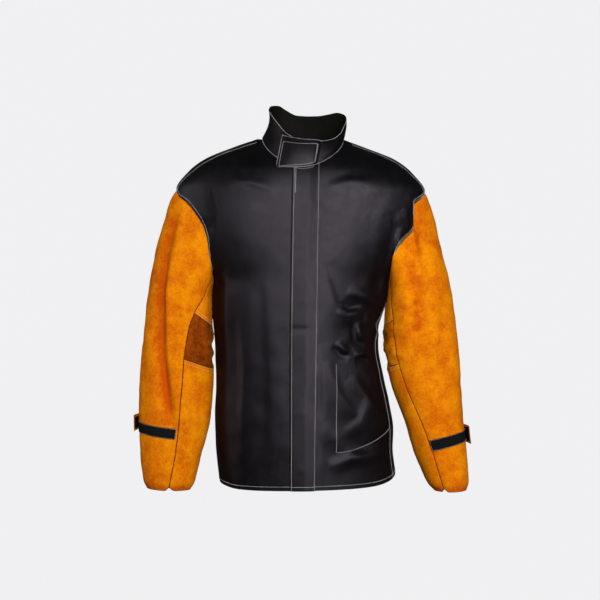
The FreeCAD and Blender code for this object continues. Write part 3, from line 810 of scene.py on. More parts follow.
def group(name: str, inputs: dict[str, tuple[str, object]], outputs: Sequence[str]) -> tuple:
    """Makes an empty shader node group.

    Args:
        name: the group's name.
        inputs: each input's socket type and first value.
        outputs: the names of its outputs, which are all plain values.

    Returns:
        The group, its node helper, its inputs by name and its output node.
    """
    tree = bpy.data.node_groups.new(name, "ShaderNodeTree")
    for label, (kind, value) in inputs.items():
        socket = tree.interface.new_socket(label, in_out="INPUT", socket_type=kind)
        if value is not None:
            socket.default_value = value
    for label in outputs:
        tree.interface.new_socket(label, in_out="OUTPUT", socket_type="NodeSocketFloat")
    nodes = Nodes(tree)
    return tree, nodes, nodes.add("NodeGroupInput").outputs, nodes.add("NodeGroupOutput")


def weave_group() -> bpy.types.NodeTree:
    """Builds the sateen weave: slanting floats of yarn, a little uneven."""
    tree, n, given, made = group(
        "sateen_weave",
        {"Flat": ("NodeSocketVector", None), "Pitch": ("NodeSocketFloat", 0.0008),
         "Uneven": ("NodeSocketFloat", 0.4)},
        ("Height", "Slub"),
    )
    flat = n.add("ShaderNodeSeparateXYZ", {0: given["Flat"]}).outputs
    turns = n.math("DIVIDE", 6.28318, given["Pitch"])
    wander = n.math("MULTIPLY", n.noise(given["Flat"], 260.0, 2.0), given["Uneven"])
    slant = n.math("MULTIPLY_ADD", flat[1], 2.0, flat[0])
    phase = n.math("ADD", n.math("MULTIPLY", slant, turns), n.math("MULTIPLY", wander, 6.0))
    yarns = n.math("SINE", phase)
    crossing = n.math("SINE", n.math("MULTIPLY", flat[0], n.math("MULTIPLY", turns, 0.5)))
    height = n.math("MULTIPLY_ADD", yarns, 0.35, n.math("MULTIPLY_ADD", crossing, 0.12, 0.5))
    slub = n.noise(n.stretch(given["Flat"], (900.0, 40.0, 1.0)), 1.0, 3.0)
    n.feed(made, {"Height": height, "Slub": slub})
    return tree


def nap_group() -> bpy.types.NodeTree:
    """Builds the brushed face of split leather: broad patches, brush marks and fine fibre."""
    tree, n, given, made = group(
        "brushed_nap",
        {"Flat": ("NodeSocketVector", None), "Patch": ("NodeSocketFloat", 16.0),
         "Fibre": ("NodeSocketFloat", 900.0)},
        ("Patches", "Brushed", "Pores", "Height"),
    )
    flat, patch, fibre = given["Flat"], given["Patch"], given["Fibre"]
    patches = n.noise(flat, patch, 4.0, 0.62)
    brushed = n.noise(n.stretch(flat, (1.0, 0.8, 1.0)), n.math("MULTIPLY", patch, 5.5), 5.0, 0.7)
    hairs = n.noise(flat, fibre, 3.0, 0.7)
    pores = n.noise(flat, n.math("MULTIPLY", fibre, 0.28), 4.0, 0.65)
    height = n.math("MULTIPLY_ADD", pores, 0.4, n.math("MULTIPLY", brushed, 0.35))
    height = n.math("MULTIPLY_ADD", hairs, 0.45, height)
    n.feed(made, {"Patches": patches, "Brushed": brushed, "Pores": pores, "Height": height})
    return tree


def edge_group() -> bpy.types.NodeTree:
    """Builds the mask of what lies by a cut edge, a little uneven along it."""
    tree, n, given, made = group(
        "edge_mask", {"Flat": ("NodeSocketVector", None), "Reach": ("NodeSocketFloat", 0.5)}, ("Mask",),
    )
    uneven = n.math("MULTIPLY_ADD", n.noise(given["Flat"], 120.0, 3.0), 0.9, 0.55)
    near = n.math("MULTIPLY", n.mark("edge_near"), uneven)
    n.feed(made, {"Mask": n.math("MINIMUM", n.math("DIVIDE", near, given["Reach"]), 1.0)})
    return tree


class Groups:
    """The shared effects, each built once."""

    def __init__(self) -> None:
        """Builds the groups."""
        self.weave, self.nap, self.edge = weave_group(), nap_group(), edge_group()


def start_material(name: str) -> tuple[bpy.types.Material, Nodes, bpy.types.Node]:
    """Returns a new material, its node helper and its shader."""
    material = bpy.data.materials.new(name)
    material.use_nodes = True
    nodes = Nodes(material.node_tree)
    return material, nodes, material.node_tree.nodes["Principled BSDF"]


@dataclass(frozen=True)
class CottonFinish:
    """Flame-resistant cotton sateen."""

    name: str
    dark: Point = (0.0012, 0.0012, 0.0014)
    light: Point = (0.0040, 0.0036, 0.0044)
    roughness: float = 0.38
    shine: float = 0.5
    shine_tint: Point = (0.95, 0.86, 1.0)
    index: float = 1.33
    pitch: float = 0.0009

    def build(self, groups: Groups) -> bpy.types.Material:
        """Returns the material, built with the shared groups."""
        material, n, shader = start_material(self.name)
        flat = n.flat_place()
        weave = n.use(groups.weave, Flat=flat, Pitch=self.pitch)
        nap = n.use(groups.nap, Flat=flat, Patch=9.0, Fibre=1500.0)
        worn = n.use(groups.edge, Flat=flat, Reach=1.2)["Mask"]
        tone = n.math("MULTIPLY", n.spread(nap["Patches"], 0.3, 0.7), 0.7)
        for layer, share in ((weave["Slub"], 0.35), (weave["Height"], 0.25), (worn, 0.35)):
            tone = n.math("MULTIPLY_ADD", layer, share, tone)
        smooth, rough = self.roughness - 0.05, self.roughness + 0.07
        height = n.math("MULTIPLY_ADD", nap["Height"], 0.25, weave["Height"])
        n.feed(shader, {
            "Base Color": n.mix(tone, self.dark, self.light),
            "Roughness": n.spread(nap["Brushed"], 0.25, 0.75, smooth, rough),
            "Specular IOR Level": self.shine,
            "Specular Tint": (*self.shine_tint, 1),
            "IOR": self.index,
            "Normal": n.bump(0.35, 0.00022, height),
        })
        return material


@dataclass(frozen=True)
class SuedeFinish:
    """Split leather with a brushed nap, darker along its raw edges, with painted shade in the hollows of its
    folds.
    """

    name: str
    bright: Point = (0.98, 0.335, 0.002)
    deep: Point = (0.60, 0.088, 0.0015)
    raw: Point = (0.20, 0.03, 0.002)
    raw_share: float = 0.9
    # how much painted shade the folds' hollows get
    hollow_shade_share: float = 0.62
    mirrored_share: float = 0.8
    roughness: float = 0.86

    def build(self, groups: Groups) -> bpy.types.Material:
        """Returns the material, built with the shared groups."""
        material, n, shader = start_material(self.name)
        nap = n.use(groups.nap, Flat=n.solid_place(), Patch=26.0, Fibre=1100.0)
        patches = n.spread(nap["Patches"], 0.34, 0.66)
        brushed = n.spread(nap["Brushed"], 0.3, 0.7)
        pores = n.spread(nap["Pores"], 0.32, 0.68)
        tone = n.math("MULTIPLY_ADD", brushed, 0.30, n.math("MULTIPLY", pores, 0.28))
        tone = n.math("MULTIPLY_ADD", patches, 0.42, tone)
        # Painted shade: the leather is darkened where it lies deep in a fold's hollow.
        tone = n.math("SUBTRACT", tone, n.math("MULTIPLY", n.mark("hollow_shade"), self.hollow_shade_share))
        colour = n.mix(tone, self.deep, self.bright)
        # The cotton mirrors the sleeves, so they are duller to glossy rays.
        mirrored_ray = n.add("ShaderNodeLightPath").outputs["Is Glossy Ray"]
        colour = n.mix(n.math("MULTIPLY", mirrored_ray, self.mirrored_share), colour, self.raw)
        by_edge = n.use(groups.edge, Flat=n.flat_place(), Reach=0.75)["Mask"]
        by_edge = n.math("MULTIPLY", n.spread(by_edge, 0.7, 1.0), self.raw_share)
        rough, smooth = self.roughness + 0.06, self.roughness - 0.06
        n.feed(shader, {
            "Base Color": n.mix(by_edge, colour, self.raw),
            "Roughness": n.spread(brushed, 0.0, 1.0, rough, smooth),
            "Sheen Weight": 0.10,
            "Sheen Roughness": 0.6,
            "Sheen Tint": (1.0, 0.45, 0.03, 1),
            "Specular IOR Level": 0.03,
            "Normal": n.bump(0.55, 0.0006, nap["Height"]),
        })
        return material


@dataclass(frozen=True)
class PileFinish:
    """The face of hook or loop tape, or of a woven tape."""

    name: str
    colour: Point = (0.0042, 0.0042, 0.0046)
    pale_by: float = 2.2
    scale: float = 1400.0
    depth: float = 0.0006

    def build(self, groups: Groups) -> bpy.types.Material:
        """Returns the material, built with the shared groups."""
        material, n, shader = start_material(self.name)
        flat = n.flat_place()
        loops = n.add("ShaderNodeTexVoronoi", {"Vector": flat, "Scale": self.scale}).outputs["Distance"]
        brushed = n.use(groups.nap, Flat=flat, Patch=30.0)["Brushed"]
        tone = n.math("MULTIPLY_ADD", loops, 0.7, n.math("MULTIPLY", brushed, 0.5))
        n.feed(shader, {
            "Base Color": n.mix(tone, self.colour, tuple(c * self.pale_by for c in self.colour)),
            "Roughness": 0.8,
            "Specular IOR Level": 0.06,
            "Normal": n.bump(0.8, self.depth, loops),
        })
        return material


@dataclass(frozen=True)
class ThreadFinish:
    """Twisted sewing thread."""

    name: str
    colour: Point = (0.62, 0.60, 0.60)
    dull_by: float = 0.62

    def build(self, groups: Groups) -> bpy.types.Material:
        """Returns the material."""
        material, n, shader = start_material(self.name)
        place = n.solid_place()
        twist = n.noise(place, 1800.0, 2.0)
        soil = n.spread(n.noise(place, 14.0, 2.0), 0.35, 0.7)
        clean = n.math("MULTIPLY_ADD", twist, 0.4, n.math("MULTIPLY", soil, 0.6))
        n.feed(shader, {
            "Base Color": n.mix(clean, tuple(c * self.dull_by for c in self.colour), self.colour),
            "Roughness": 0.6,
            "Normal": n.bump(0.5, 0.0002, twist),
        })
        return material


@dataclass(frozen=True)
class SnapFinish:
    """Blackened steel with the plating rubbed through in places."""

    name: str
    colour: Point = (0.16, 0.15, 0.145)
    worn: Point = (0.52, 0.49, 0.46)

    def build(self, groups: Groups) -> bpy.types.Material:
        """Returns the material."""
        material, n, shader = start_material(self.name)
        place = n.solid_place()
        rub = n.spread(n.noise(place, 420.0, 4.0), 0.5, 0.68)
        n.feed(shader, {
            "Base Color": n.mix(rub, self.colour, self.worn),
            "Roughness": n.spread(rub, 0.0, 1.0, 0.42, 0.28),
            "Metallic": 1.0,
            "Normal": n.bump(0.2, 0.0001, n.noise(place, 900.0)),
        })
        return material


class Finish(Enum):
    """The jacket's finishes."""

    COTTON = CottonFinish("cotton_sateen")
    LINING = CottonFinish("cotton_lining", dark=(0.0028, 0.0028, 0.0018), light=(0.0075, 0.0075, 0.0048),
                          shine=0.15, roughness=0.6)
    SUEDE = SuedeFinish("split_leather")
    # The wearer's right elbow patch is darker partly as its own leather and partly as painted shade of the
    # elbow's crook.
    SHADED_DARK_SUEDE = SuedeFinish("split_leather_dark_shaded", bright=(0.44, 0.080, 0.002), deep=(0.06, 0.007, 0.0015))
    WORN_SUEDE = SuedeFinish("split_leather_worn", bright=(0.80, 0.24, 0.002), deep=(0.36, 0.058, 0.0015))
    PILE = PileFinish("hook_and_loop")
    TAPE = PileFinish("woven_tape", colour=(0.0045, 0.0045, 0.005), scale=700.0, depth=0.0003)
    THREAD = ThreadFinish("pale_thread")
    GOLD_THREAD = ThreadFinish("golden_thread", colour=(0.95, 0.62, 0.22))
    SNAP = SnapFinish("dark_snap")


class Wardrobe:
    """Builds each finish once, dresses the pieces and hides the frame's parts that they replace."""

    def __init__(self) -> None:
        """Builds the finishes."""
        groups = Groups()
        self.materials = {finish: finish.value.build(groups) for finish in Finish}

    def dress(self, piece: bpy.types.Object, finish: Finish, slot: str, *nodes: str) -> bpy.types.Object:
        """Gives a piece its finish and hides the parts of the frame that it stands for.

        Args:
            piece: the piece.
            finish: its finish.
            slot: not used.
            nodes: the frame's nodes that the piece replaces.

        Returns:
            The piece.
        """
        piece.data.materials.append(self.materials[finish])
        if nodes:
            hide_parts(*nodes)
        LOG.info("made %s, %d points", piece.name, len(piece.data.vertices))
        return piece

    def cut(self, name: str, panel: Panel, finish: Finish, slot: str, *nodes: str,
            held: str = "hung") -> bpy.types.Object:
        """Args:
            name: the piece's name.
            panel: the panel.
            finish: its finish.
            slot: not used.
            nodes: the frame's nodes that the piece replaces.
            held: not used.

        Returns:
            The piece.
        """
        piece = self.dress(panel_mesh(name, panel), finish, slot, *nodes)
        return piece


# ---- cotton body --------------------------------------------------------------------------------
# x of the flap's sewn edge and of its free edge, by height.
FLAP_ROOT = Profile(((-745, 27.5), (-350, 33.0), (-58, 38.0)))
FLAP_EDGE = Profile(((-745, -22.5), (-450, -22.0), (-250, -20.0), (-58, -16.5)))
# The hem's height by degrees from the centre front, then the side seam's turn by height.
HEM = {1: Profile(((0, -745), (45, -741), (78, -728), (90, -722), (110, -731), (180, -747))),
       -1: Profile(((0, -745), (45, -747), (90, -741), (130, -744), (180, -747)))}
SIDE_SEAM = {1: Profile(((-757, 15), (-600, 19), (-450, 19), (-350, 8), (-295, 0))),
             -1: Profile(((-757, -3), (-295, 0)))}


CENTRE_EDGE = -24.0  # the right front's edge, which lies past the middle under the flap
RIGHT_HEM_END = -22.0  # the right hem is turned up only as far as the flap's free edge
FOOT_Z, SEAM_FOOT_Z, HEM_DEPTH = -745.0, -740.0, 13.0
ARMHOLE_LAP, PIT_FADE, TIP_FADE = 1.2, 25.0, 30.0  # how the fronts and back reach over the sleeves
RIDGE_HEIGHT, RIDGE_WIDTH, RIDGE_START = 1.5, 11.0, -297.0  # the cloth stands up along the armholes
STAND_FOOT_Z, STAND_LAP, STAND_EDGE = -730.0, 5.0, -31.0


def hem_height(turn: Array) -> Array:
    """Returns the height of the hem at turns."""
    away = np.abs(half_turn(np.asarray(turn, float) + 90))
    left = np.cos(np.radians(turn)) > 0
    return np.where(left, HEM[1](away), HEM[-1](away))


@dataclass
class CottonBody:
    """The fronts, the back, the hem and what is sewn inside."""

    body: BodyForm
    wardrobe: Wardrobe
    thread: Seamstress
    pitch: float = 4.6
    cloth: float = 1.5

    def border(self, turn: Array, z: Array) -> Border:
        """Returns a border through places on the body."""
        turn, z = np.broadcast_arrays(turn, z)
        return Border(self.body, np.stack([turn, z], axis=-1).astype(float))

    def side_border(self, side: int, front: bool) -> Border:
        """Returns the border up the side seam and round the armhole to the shoulder's tip."""
        seam = SIDE_SEAM[side]
        start = float(hem_height(-float(seam(SEAM_FOOT_Z))))
        z = start + (ARMPIT_Z - start) * np.linspace(0.0, 1.0, 60)
        up_arm = np.linspace(0.0, 1.0, 50)[1:]
        arm_z = ARMPIT_Z + (SEAM_TIP_Z - ARMPIT_Z) * up_arm
        hole = Profile(ARMHOLE_FRONT[side]) if front else Profile(ARMHOLE_BACK)
        arm_x = hole(arm_z) + ARMHOLE_LAP * np.sin(np.pi * up_arm)
        arm_turn = self.body.turn(arm_x, arm_z, front) * ease((arm_z - ARMPIT_Z) / PIT_FADE)
        close = ease((arm_z - SEAM_TIP_Z + TIP_FADE) / TIP_FADE)
        arm_turn = arm_turn * (1 - close) + SEAM_TIP_TURN * close
        turn, z = np.concatenate([-seam(z), arm_turn]), np.concatenate([z, arm_z])
        return self.border(mirrored(turn, side, front), z)

    def shoulder_line(self, side: int) -> tuple[Array, Array]:
        """Returns the shoulder seam's turns and heights, from the neck to the sleeve."""
        turn, z = self.body.neck(side * SEAM_NECK_ANGLE)
        share = np.linspace(0.0, 1.0, 40)
        tip = mirrored(SEAM_TIP_TURN, side, True)
        return turn + (tip - turn) * share, z + (SEAM_TIP_Z - z) * share

    def lapped(self, a: Array, b: Array, ends: Sequence[int]) -> Array:
        """Returns the lift of a panel that laps over the sleeves at the given ends of its rows."""
        run = run_along(self.body.base(a, b), 1)
        pucker = 1.0 + 0.35 * np.sin(b / 3.7 + 2.0 * np.sin(b / 17.0))
        lift = np.zeros(a.shape)
        for end in ends:
            away = run[:, -1:] - run if end else run
            ridge = RIDGE_HEIGHT * np.exp(-((away / RIDGE_WIDTH) ** 2))
            lift += ridge * pucker * ease((b - RIDGE_START) / 10)
        return lift

    def front(self, side: int, centre: Callable[[Array], Array], pitch: float) -> Panel:
        """Cuts a front panel.

        Args:
            side: 1 for the wearer's left, -1 for the right.
            centre: the centre edge's distance from the middle towards that side, by height.
            pitch: the grid's pitch.

        Returns:
            The panel, which runs from its centre edge to its side.
        """
        z_high = float(self.body.neck_height(max(0.0, side * float(centre(NECK_FRONT_Z)))))
        z = np.linspace(FOOT_Z, z_high, 80)
        centre_turn = self.body.turn(side * centre(z), z, True)
        left = self.border(centre_turn, z)
        right = self.side_border(side, True)
        hem_turn = np.linspace(centre_turn[0], float(right.places[0, 0]), 60)
        low = self.border(hem_turn, hem_height(hem_turn))
        neck_x = side * max(0.0, float(centre(z_high)))
        begin = math.degrees(math.asin((neck_x - NECK_MIDDLE) / NECK_RADIUS))
        neck_turn, neck_z = self.body.neck(np.linspace(begin, side * SEAM_NECK_ANGLE, 40))
        seam_turn, seam_z = self.shoulder_line(side)
        high_turn = np.concatenate([neck_turn, seam_turn[1:]])
        high_z = np.concatenate([neck_z, seam_z[1:]])
        high_turn[0], high_z[0] = centre_turn[-1], z_high
        high = self.border(high_turn, high_z)
        low.places[0] = left.places[0]
        low.places[-1] = right.places[0]
        right.places[-1] = high.places[-1]
        a, b = fill(low, high, left, right, pitch)
        return Panel(self.body, a, b, self.lapped(a, b, (1,)), self.cloth)

    def back(self, pitch: float) -> Panel:
        """Cuts the back panel, which runs over the shoulders to the seams at their front."""
        left, right = self.side_border(1, False), self.side_border(-1, False)
        hem_turn = np.linspace(float(left.places[0, 0]), float(right.places[0, 0]), 90)
        low = self.border(hem_turn, hem_height(hem_turn))
        first, last = self.shoulder_line(1), self.shoulder_line(-1)
        neck_turn, neck_z = self.body.neck(np.linspace(SEAM_NECK_ANGLE, 360 - SEAM_NECK_ANGLE, 90))
        neck_turn = np.where(neck_turn < -90, neck_turn + 360, neck_turn)
        turn = np.concatenate([first[0][::-1], neck_turn[1:-1], last[0] + 360])
        high = self.border(turn, np.concatenate([first[1][::-1], neck_z[1:-1], last[1]]))
        for edge, end in ((left, 0), (right, -1)):
            low.places[end] = edge.places[0]
            edge.places[-1] = high.places[end]
        a, b = fill(low, high, left, right, pitch)
        return Panel(self.body, a, b, self.lapped(a, b, (0, 1)), self.cloth)

    def build(self) -> None:
        """Makes every piece that rides on the jacket's body below the collar."""
        wear = self.wardrobe
        right = self.front(-1, lambda z: 0.0 * z + CENTRE_EDGE, self.pitch)
        left = self.front(1, FLAP_ROOT, self.pitch)
        back = self.back(self.pitch * 1.15)
        for name, panel in (("right_front_panel", right), ("left_front_panel", left), ("back_panel", back)):
            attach(wear.cut(f"cotton_{name}", panel, Finish.COTTON, "cotton", name), "jacket_body")
        self.sew_panels(right, left, back)
        self.hem()
        self.button_stand()
        self.pocket()
        self.loop()

    def sew_panels(self, right: Panel, left: Panel, back: Panel) -> None:
        """Sews the shoulders, armholes, hems and sides."""
        armhole = (0.60, 0.985)
        self.thread.edges(right, ("right", 7.2, *armhole), ("high", 2.0, 0.47, 0.99),
                          ("low", 9.0, 0.14, 0.995))
        self.thread.edges(left, ("right", 5.2, *armhole), ("right", 9.6, *armhole), ("high", 2.0, 0.42, 0.99),
                          ("low", 9.0, 0.01, 0.995), ("right", 2.6, 0.02, 0.58))
        self.thread.edges(back, ("low", 9.0), ("left", 2.6, *armhole), ("left", 8.2, *armhole),
                          ("right", 2.6, *armhole), ("right", 8.2, *armhole))

    def hem(self) -> None:
        """Makes the turned-up hem inside each panel."""
        spans = {
            "hem_fold_left": (self.body.turn(FLAP_ROOT(FOOT_Z) + 2, FOOT_Z), -16.0),
            "hem_fold_right": (-181.0, self.body.turn(RIGHT_HEM_END, FOOT_Z)),
            "hem_fold_back": (-14.0, 182.0),
        }
        for name, (start, end) in spans.items():
            turn, share = np.meshgrid(np.linspace(start, end, 90), shares(HEM_DEPTH, 4.0))
            z = hem_height(turn) + 0.3 + HEM_DEPTH * share
            panel = Panel(self.body, turn, z, -self.cloth - 0.15, self.cloth, 0.6)
            piece = self.wardrobe.cut(f"cotton_{name}", panel, Finish.LINING, "cotton", name, held="folded")
            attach(piece, "jacket_body")

    def button_stand(self) -> None:
        """Makes the strip behind both fronts' edges, which ends above the hem's folds."""
        z = np.linspace(STAND_FOOT_Z, NECK_FRONT_Z - 7, 150)
        share, zz = np.meshgrid(np.linspace(0.0, 1.0, 20), z)
        behind_left = FLAP_ROOT(zz) + STAND_LAP
        xx = behind_left + (STAND_EDGE - behind_left) * share
        panel = Panel(self.body, self.body.turn(xx, zz), zz, -self.cloth - 0.2, self.cloth, 0.6)
        piece = self.wardrobe.cut("cotton_button_stand", panel, Finish.LINING, "cotton", "button_stand")
        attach(piece, "jacket_body")

    def pocket(self) -> None:
        """Makes the patch pocket inside the left front and sews it through."""
        corner, top, bottom, side_bottom, belly = 76.0, -474.0, -664.0, -618.0, 9.0
        start, end = float(self.body.turn(corner, -570)), -21.0
        turn, v = np.meshgrid(np.linspace(start, end, 50), np.linspace(0.0, 1.0, 60))
        across = (turn - start) / (end - start)

        def foot(share: Array) -> Array:
            return bottom + (side_bottom - bottom) * share**1.5

        z = foot(across) + (top - foot(across)) * v
        bag = (1 - (2 * across - 1) ** 6) * (1 - (1 - v) ** 6) * belly
        panel = Panel(self.body, turn, z, -self.cloth - 0.3 - bag, 1.0, 0.4)
        piece = self.wardrobe.cut("cotton_inner_pocket", panel, Finish.LINING, "cotton", "inner_pocket")
        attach(piece, "jacket_body")
        drop, share = np.linspace(top, bottom, 90), np.linspace(0.0, 1.0, 60)
        side, base = (self.body.turn(corner, drop), drop), (start + (end - start) * share, foot(share))
        for turns, heights in (side, base):
            self.thread.sew(self.body.at(turns, heights), self.body.normal(turns, heights))

    def loop(self) -> None:
        """Makes the hanging loop inside the back of the neck."""
        low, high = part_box("hanging_loop")
        half, width, thick = (high.x - low.x) / 2 / MM, 10.4, 1.5
        share, up = np.meshgrid(np.linspace(-1.0, 1.0, 41), np.linspace(0.0, 1.0, 9))
        deep, back = low.y / MM + 1.7, high.y / MM
        y = back - (back - deep) * (1 - share**2) ** 0.7
        outer = np.stack([half * share, y, low.z / MM - 0.6 + width * up], axis=-1)
        panel = StripPanel(outer, np.array([0.0, 1.0, 0.0]), thick)
        piece = self.wardrobe.cut("woven_hanging_loop", panel, Finish.TAPE, "tape", "hanging_loop",
                                  held="stretched")
        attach(piece, "jacket_body")


class StripPanel(Panel):
    """A strip given by its own points, with one direction for its face."""

    def __init__(self, points: Array, facing: Array, thick: float) -> None:
        """Args:
            points: the face's points, as a grid.
            facing: the face's direction.
            thick: the strip's thickness, to the back of the face.
        """
        self.a, self.b = points[..., 0], points[..., 2]
        self.run_a, self.run_b = run_along(points, 1), run_along(points, 0)
        self.edge = np.minimum(self.run_b, self.run_b[-1:] - self.run_b)
        self.hollow_shade = np.zeros(points.shape[:2])
        self.normal = np.broadcast_to(facing, points.shape)
        self.outer = points
        self.inner = points - self.normal * thick


# ---- front flap ---------------------------------------------------------------------------------
@dataclass
class FrontFlap:
    """The flap that hides the snaps, with its facing."""

    body: BodyForm
    wardrobe: Wardrobe
    pitch: float = 3.2
    width: float = 54.0
    length: float = 690.0
    top: float = -50.8
    bottom: float = -745.5
    lift: float = 5.4
    seat: float = 1.7
    dip_z: float = -400.0
    snap_at: float = 0.53

    def grid(self, start: float, end: float, low: float, high: float) -> tuple[Array, Array, Array]:
        """Returns turns, heights and shares across the flap, from its root to its free edge."""
        u = start + (end - start) * shares(self.width, self.pitch)
        uu, vv = np.meshgrid(u, shares(self.length, self.pitch * 1.3))
        edge = FLAP_ROOT(high) + (FLAP_EDGE(high) - FLAP_ROOT(high)) * uu
        z = low + (self.body.neck_height(edge) + high - NECK_FRONT_Z - low) * vv
        x = FLAP_ROOT(z) + (FLAP_EDGE(z) - FLAP_ROOT(z)) * uu
        return self.body.turn(x, z), z, uu

    def build(self) -> None:
        """Makes the flap, its facing and its stitches."""
        turn, z, u = self.grid(-0.045, 1.0, self.bottom, self.top)
        wave = np.sin(z / 57.0) * 0.5 + np.sin(z / 23.0 + 1.0) * 0.25
        rise = self.seat + ease(u / 0.42) * (self.lift - self.seat) + ease((u - 0.2) / 0.6) * wave
        rise -= np.exp(-(((z - self.dip_z) / 7.0) ** 2)) * 1.3 * ease((u - 0.1) / 0.2)
        for snap_z in np.linspace(-100, -700, 6):
            rise += 0.45 * np.exp(-(((z - snap_z) / 8) ** 2 + ((u - self.snap_at) / 0.16) ** 2))
        panel = Panel(self.body, turn, z, rise, 1.5)
        face = self.wardrobe.cut("cotton_front_flap", panel, Finish.COTTON, "cotton", "front_flap")
        # The facing reaches past the free edge and shows there as a dark line: painted shadow of the flap's
        # edge.
        turn, z, u = self.grid(0.08, 1.035, self.bottom + 3, self.top - 2)
        under = Panel(self.body, turn, z, ease(u / 0.40) * (self.lift - 2.4), 1.0, 0.4)
        facing = self.wardrobe.cut("cotton_flap_facing", under, Finish.LINING, "cotton", "front_flap_facing")
        sewing = Seamstress()
        sewing.edges(panel, ("left", 1.6), ("right", 2.4), ("low", 9.0), ("right", 6.0, 0.90, 1.0),
                     ("high", 2.2, 0.3, 1.0))
        thread = self.wardrobe.dress(sewing.finish("flap_stitches"), Finish.THREAD, "cotton")
        for piece in (face, facing, thread):
            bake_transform(piece)


# ---- collar -------------------------------------------------------------------------------------
COLLAR_HEIGHT, COLLAR_MM_PER_DEGREE = 66.0, 1.6
TAB_LIFT, TAB_FOOT_Z, TAB_TOP_Z, TAB_CLIMB = 4.3, -49.0, 14.6, 11.0  # the tab stands off and slants up


@dataclass
class Collar:
    """The stand collar, its lining and the tab that closes it."""

    collar: CollarForm
    wardrobe: Wardrobe
    thread: Seamstress
    tab_end: float = -37.0
    tab_root: float = 20.0
    band_end: float = 9.0

    def piece(self, name: str, start: float, end: float, low: object, high: object, lift: object,
              thick: float, finish: Finish, slot: str, *nodes: str) -> tuple[bpy.types.Object, Panel]:
        """Makes a panel over the collar between two angles and two shares of its height.

        An edge's share, and the lift, may be a function of the place.
        """
        u = start + (end - start) * shares(abs(end - start) * COLLAR_MM_PER_DEGREE, 4.0)
        aa, v = np.meshgrid(u, shares(COLLAR_HEIGHT, 3.2))
        foot, head = (edge(aa) if callable(edge) else edge for edge in (low, high))
        bb = foot + (head - foot) * v
        rise = lift(aa, bb) if callable(lift) else lift
        panel = Panel(self.collar, aa, bb, rise, thick)
        return self.wardrobe.cut(name, panel, finish, slot, *nodes), panel

    def build(self) -> None:
        """Makes the collar's pieces and sews them."""
        root, end = self.tab_root, self.tab_end
        band, panel = self.piece("cotton_collar_band", root, 360 + self.band_end, 0.0, 1.0, 0.0, 1.5,
                                 Finish.COTTON, "cotton", "collar_band")
        lining, _ = self.piece("cotton_collar_lining", root + 1, 360 + self.band_end - 1, 0.02, 0.99, -1.7,
                               1.6, Finish.LINING, "cotton", "collar_lining")
        loop, _ = self.piece("loop_patch", end + 4, self.band_end - 2, 0.16, 0.84, 1.2, 1.0, Finish.PILE,
                             "hook_and_loop", "collar_loop_patch")
        for item in (band, lining, loop):
            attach(item, "jacket_body")
        self.thread.edges(panel, ("high", 2.4), ("low", 2.0))
        self.tab()

    def tab(self) -> None:
        """Makes the tab, which grows out of the wearer's left end of the band, with its patch."""
        root, end = self.tab_root + 0.3, self.tab_end

        def rise(angle: Array, share: Array) -> Array:
            return TAB_LIFT * ease((root - angle) / 9.0) + 0.35 * np.sin(angle / 6.0)

        def share_at(angle: Array, z: Array) -> Array:
            low, high = self.collar.base(angle, 0 * angle), self.collar.base(angle, 0 * angle + 1)
            return (z - low[..., 2]) / (high[..., 2] - low[..., 2])

        def foot(angle: Array) -> Array:
            level = TAB_FOOT_Z + 0.03 * angle
            return np.where(angle < 0, np.minimum(share_at(angle, level), 0.0), 0.0)

        def head(angle: Array) -> Array:
            level = TAB_TOP_Z + TAB_CLIMB * np.clip(angle / end, 0.0, 1.0) ** 1.6
            return np.where(angle < 0, np.minimum(share_at(angle, level), 1.0), 1.0)

        tab, panel = self.piece("cotton_collar_tab", root, end, foot, head, rise, 1.5, Finish.COTTON,
                                "cotton", "collar_tab")
        hook, _ = self.piece("hook_patch", self.tab_root - 6, end + 6, 0.15, 0.85, 2.7, 1.0, Finish.PILE,
                             "hook_and_loop", "collar_hook_patch")
        sewing = Seamstress()
        sewing.edges(panel, ("high", 2.3), ("low", 2.3), ("right", 2.3))
        free, by_root, last = end + 5, 14.5, 15.6
        box = (((free, 0.80), (by_root, 0.82)), ((free, 0.06), (by_root, 0.14)), ((free, 0.06), (free, 0.80)),
               ((by_root, 0.14), (by_root, 0.82)), ((last, 0.14), (last, 0.82)))
        for (a0, b0), (a1, b1) in box:
            angles, up = np.linspace(a0, a1, 50), np.linspace(b0, b1, 50)
            level = foot(angles) + (head(angles) - foot(angles)) * up
            sewing.sew(self.collar.at(angles, level, rise(angles, level)), self.collar.normal(angles, level))
        thread = self.wardrobe.dress(sewing.finish("tab_stitches"), Finish.THREAD, "cotton")
        for piece in (tab, hook, thread):
            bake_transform(piece)


# ---- sleeves ------------------------------------------------------------------------------------
# The angle of the seams between top and under sleeve. It, the elbow patch, the wrist tape's middle, and the
# tab's shift and half width are given by shares of the sleeve's length; the tape's and tab's ends by angles.
UNDER_SEAM = {
    1: Profile(((0, 150), (0.20, 141), (0.38, 135), (0.50, 133), (0.58, 129), (0.67, 124), (0.79, 115),
                (0.88, 111), (1.0, 114))),
    -1: Profile(((0, 150), (0.20, 131), (0.30, 118), (0.38, 109), (0.50, 103), (0.70, 101), (0.85, 102),
                 (1.0, 94))),
}
ELBOW = (0.30, 0.49)
WRIST = {1: 0.807, -1: 0.770}
TAPE_END = {1: 112.0, -1: 98.0}
TAB_SHIFT, TAB_HALF = {1: 0.006, -1: -0.010}, {1: 0.033, -1: 0.028}
TAB_START, TAB_STOP = -76.0, 7.0
ARMHOLE_START = -0.012  # sleeves begin this far inside the body, as a share of their length
SEAM_REACH, CUFF_NOTCH = 9.0, 0.013
TAPE_CLIMB, TAPE_LEVEL, TAPE_SPAN = 0.012, 45.0, 60.0  # the tape's slant round the wrist
CROSS_SEAMS = {"upper": "high", "lower": "low"}  # the edges that are sewn to the elbow patch


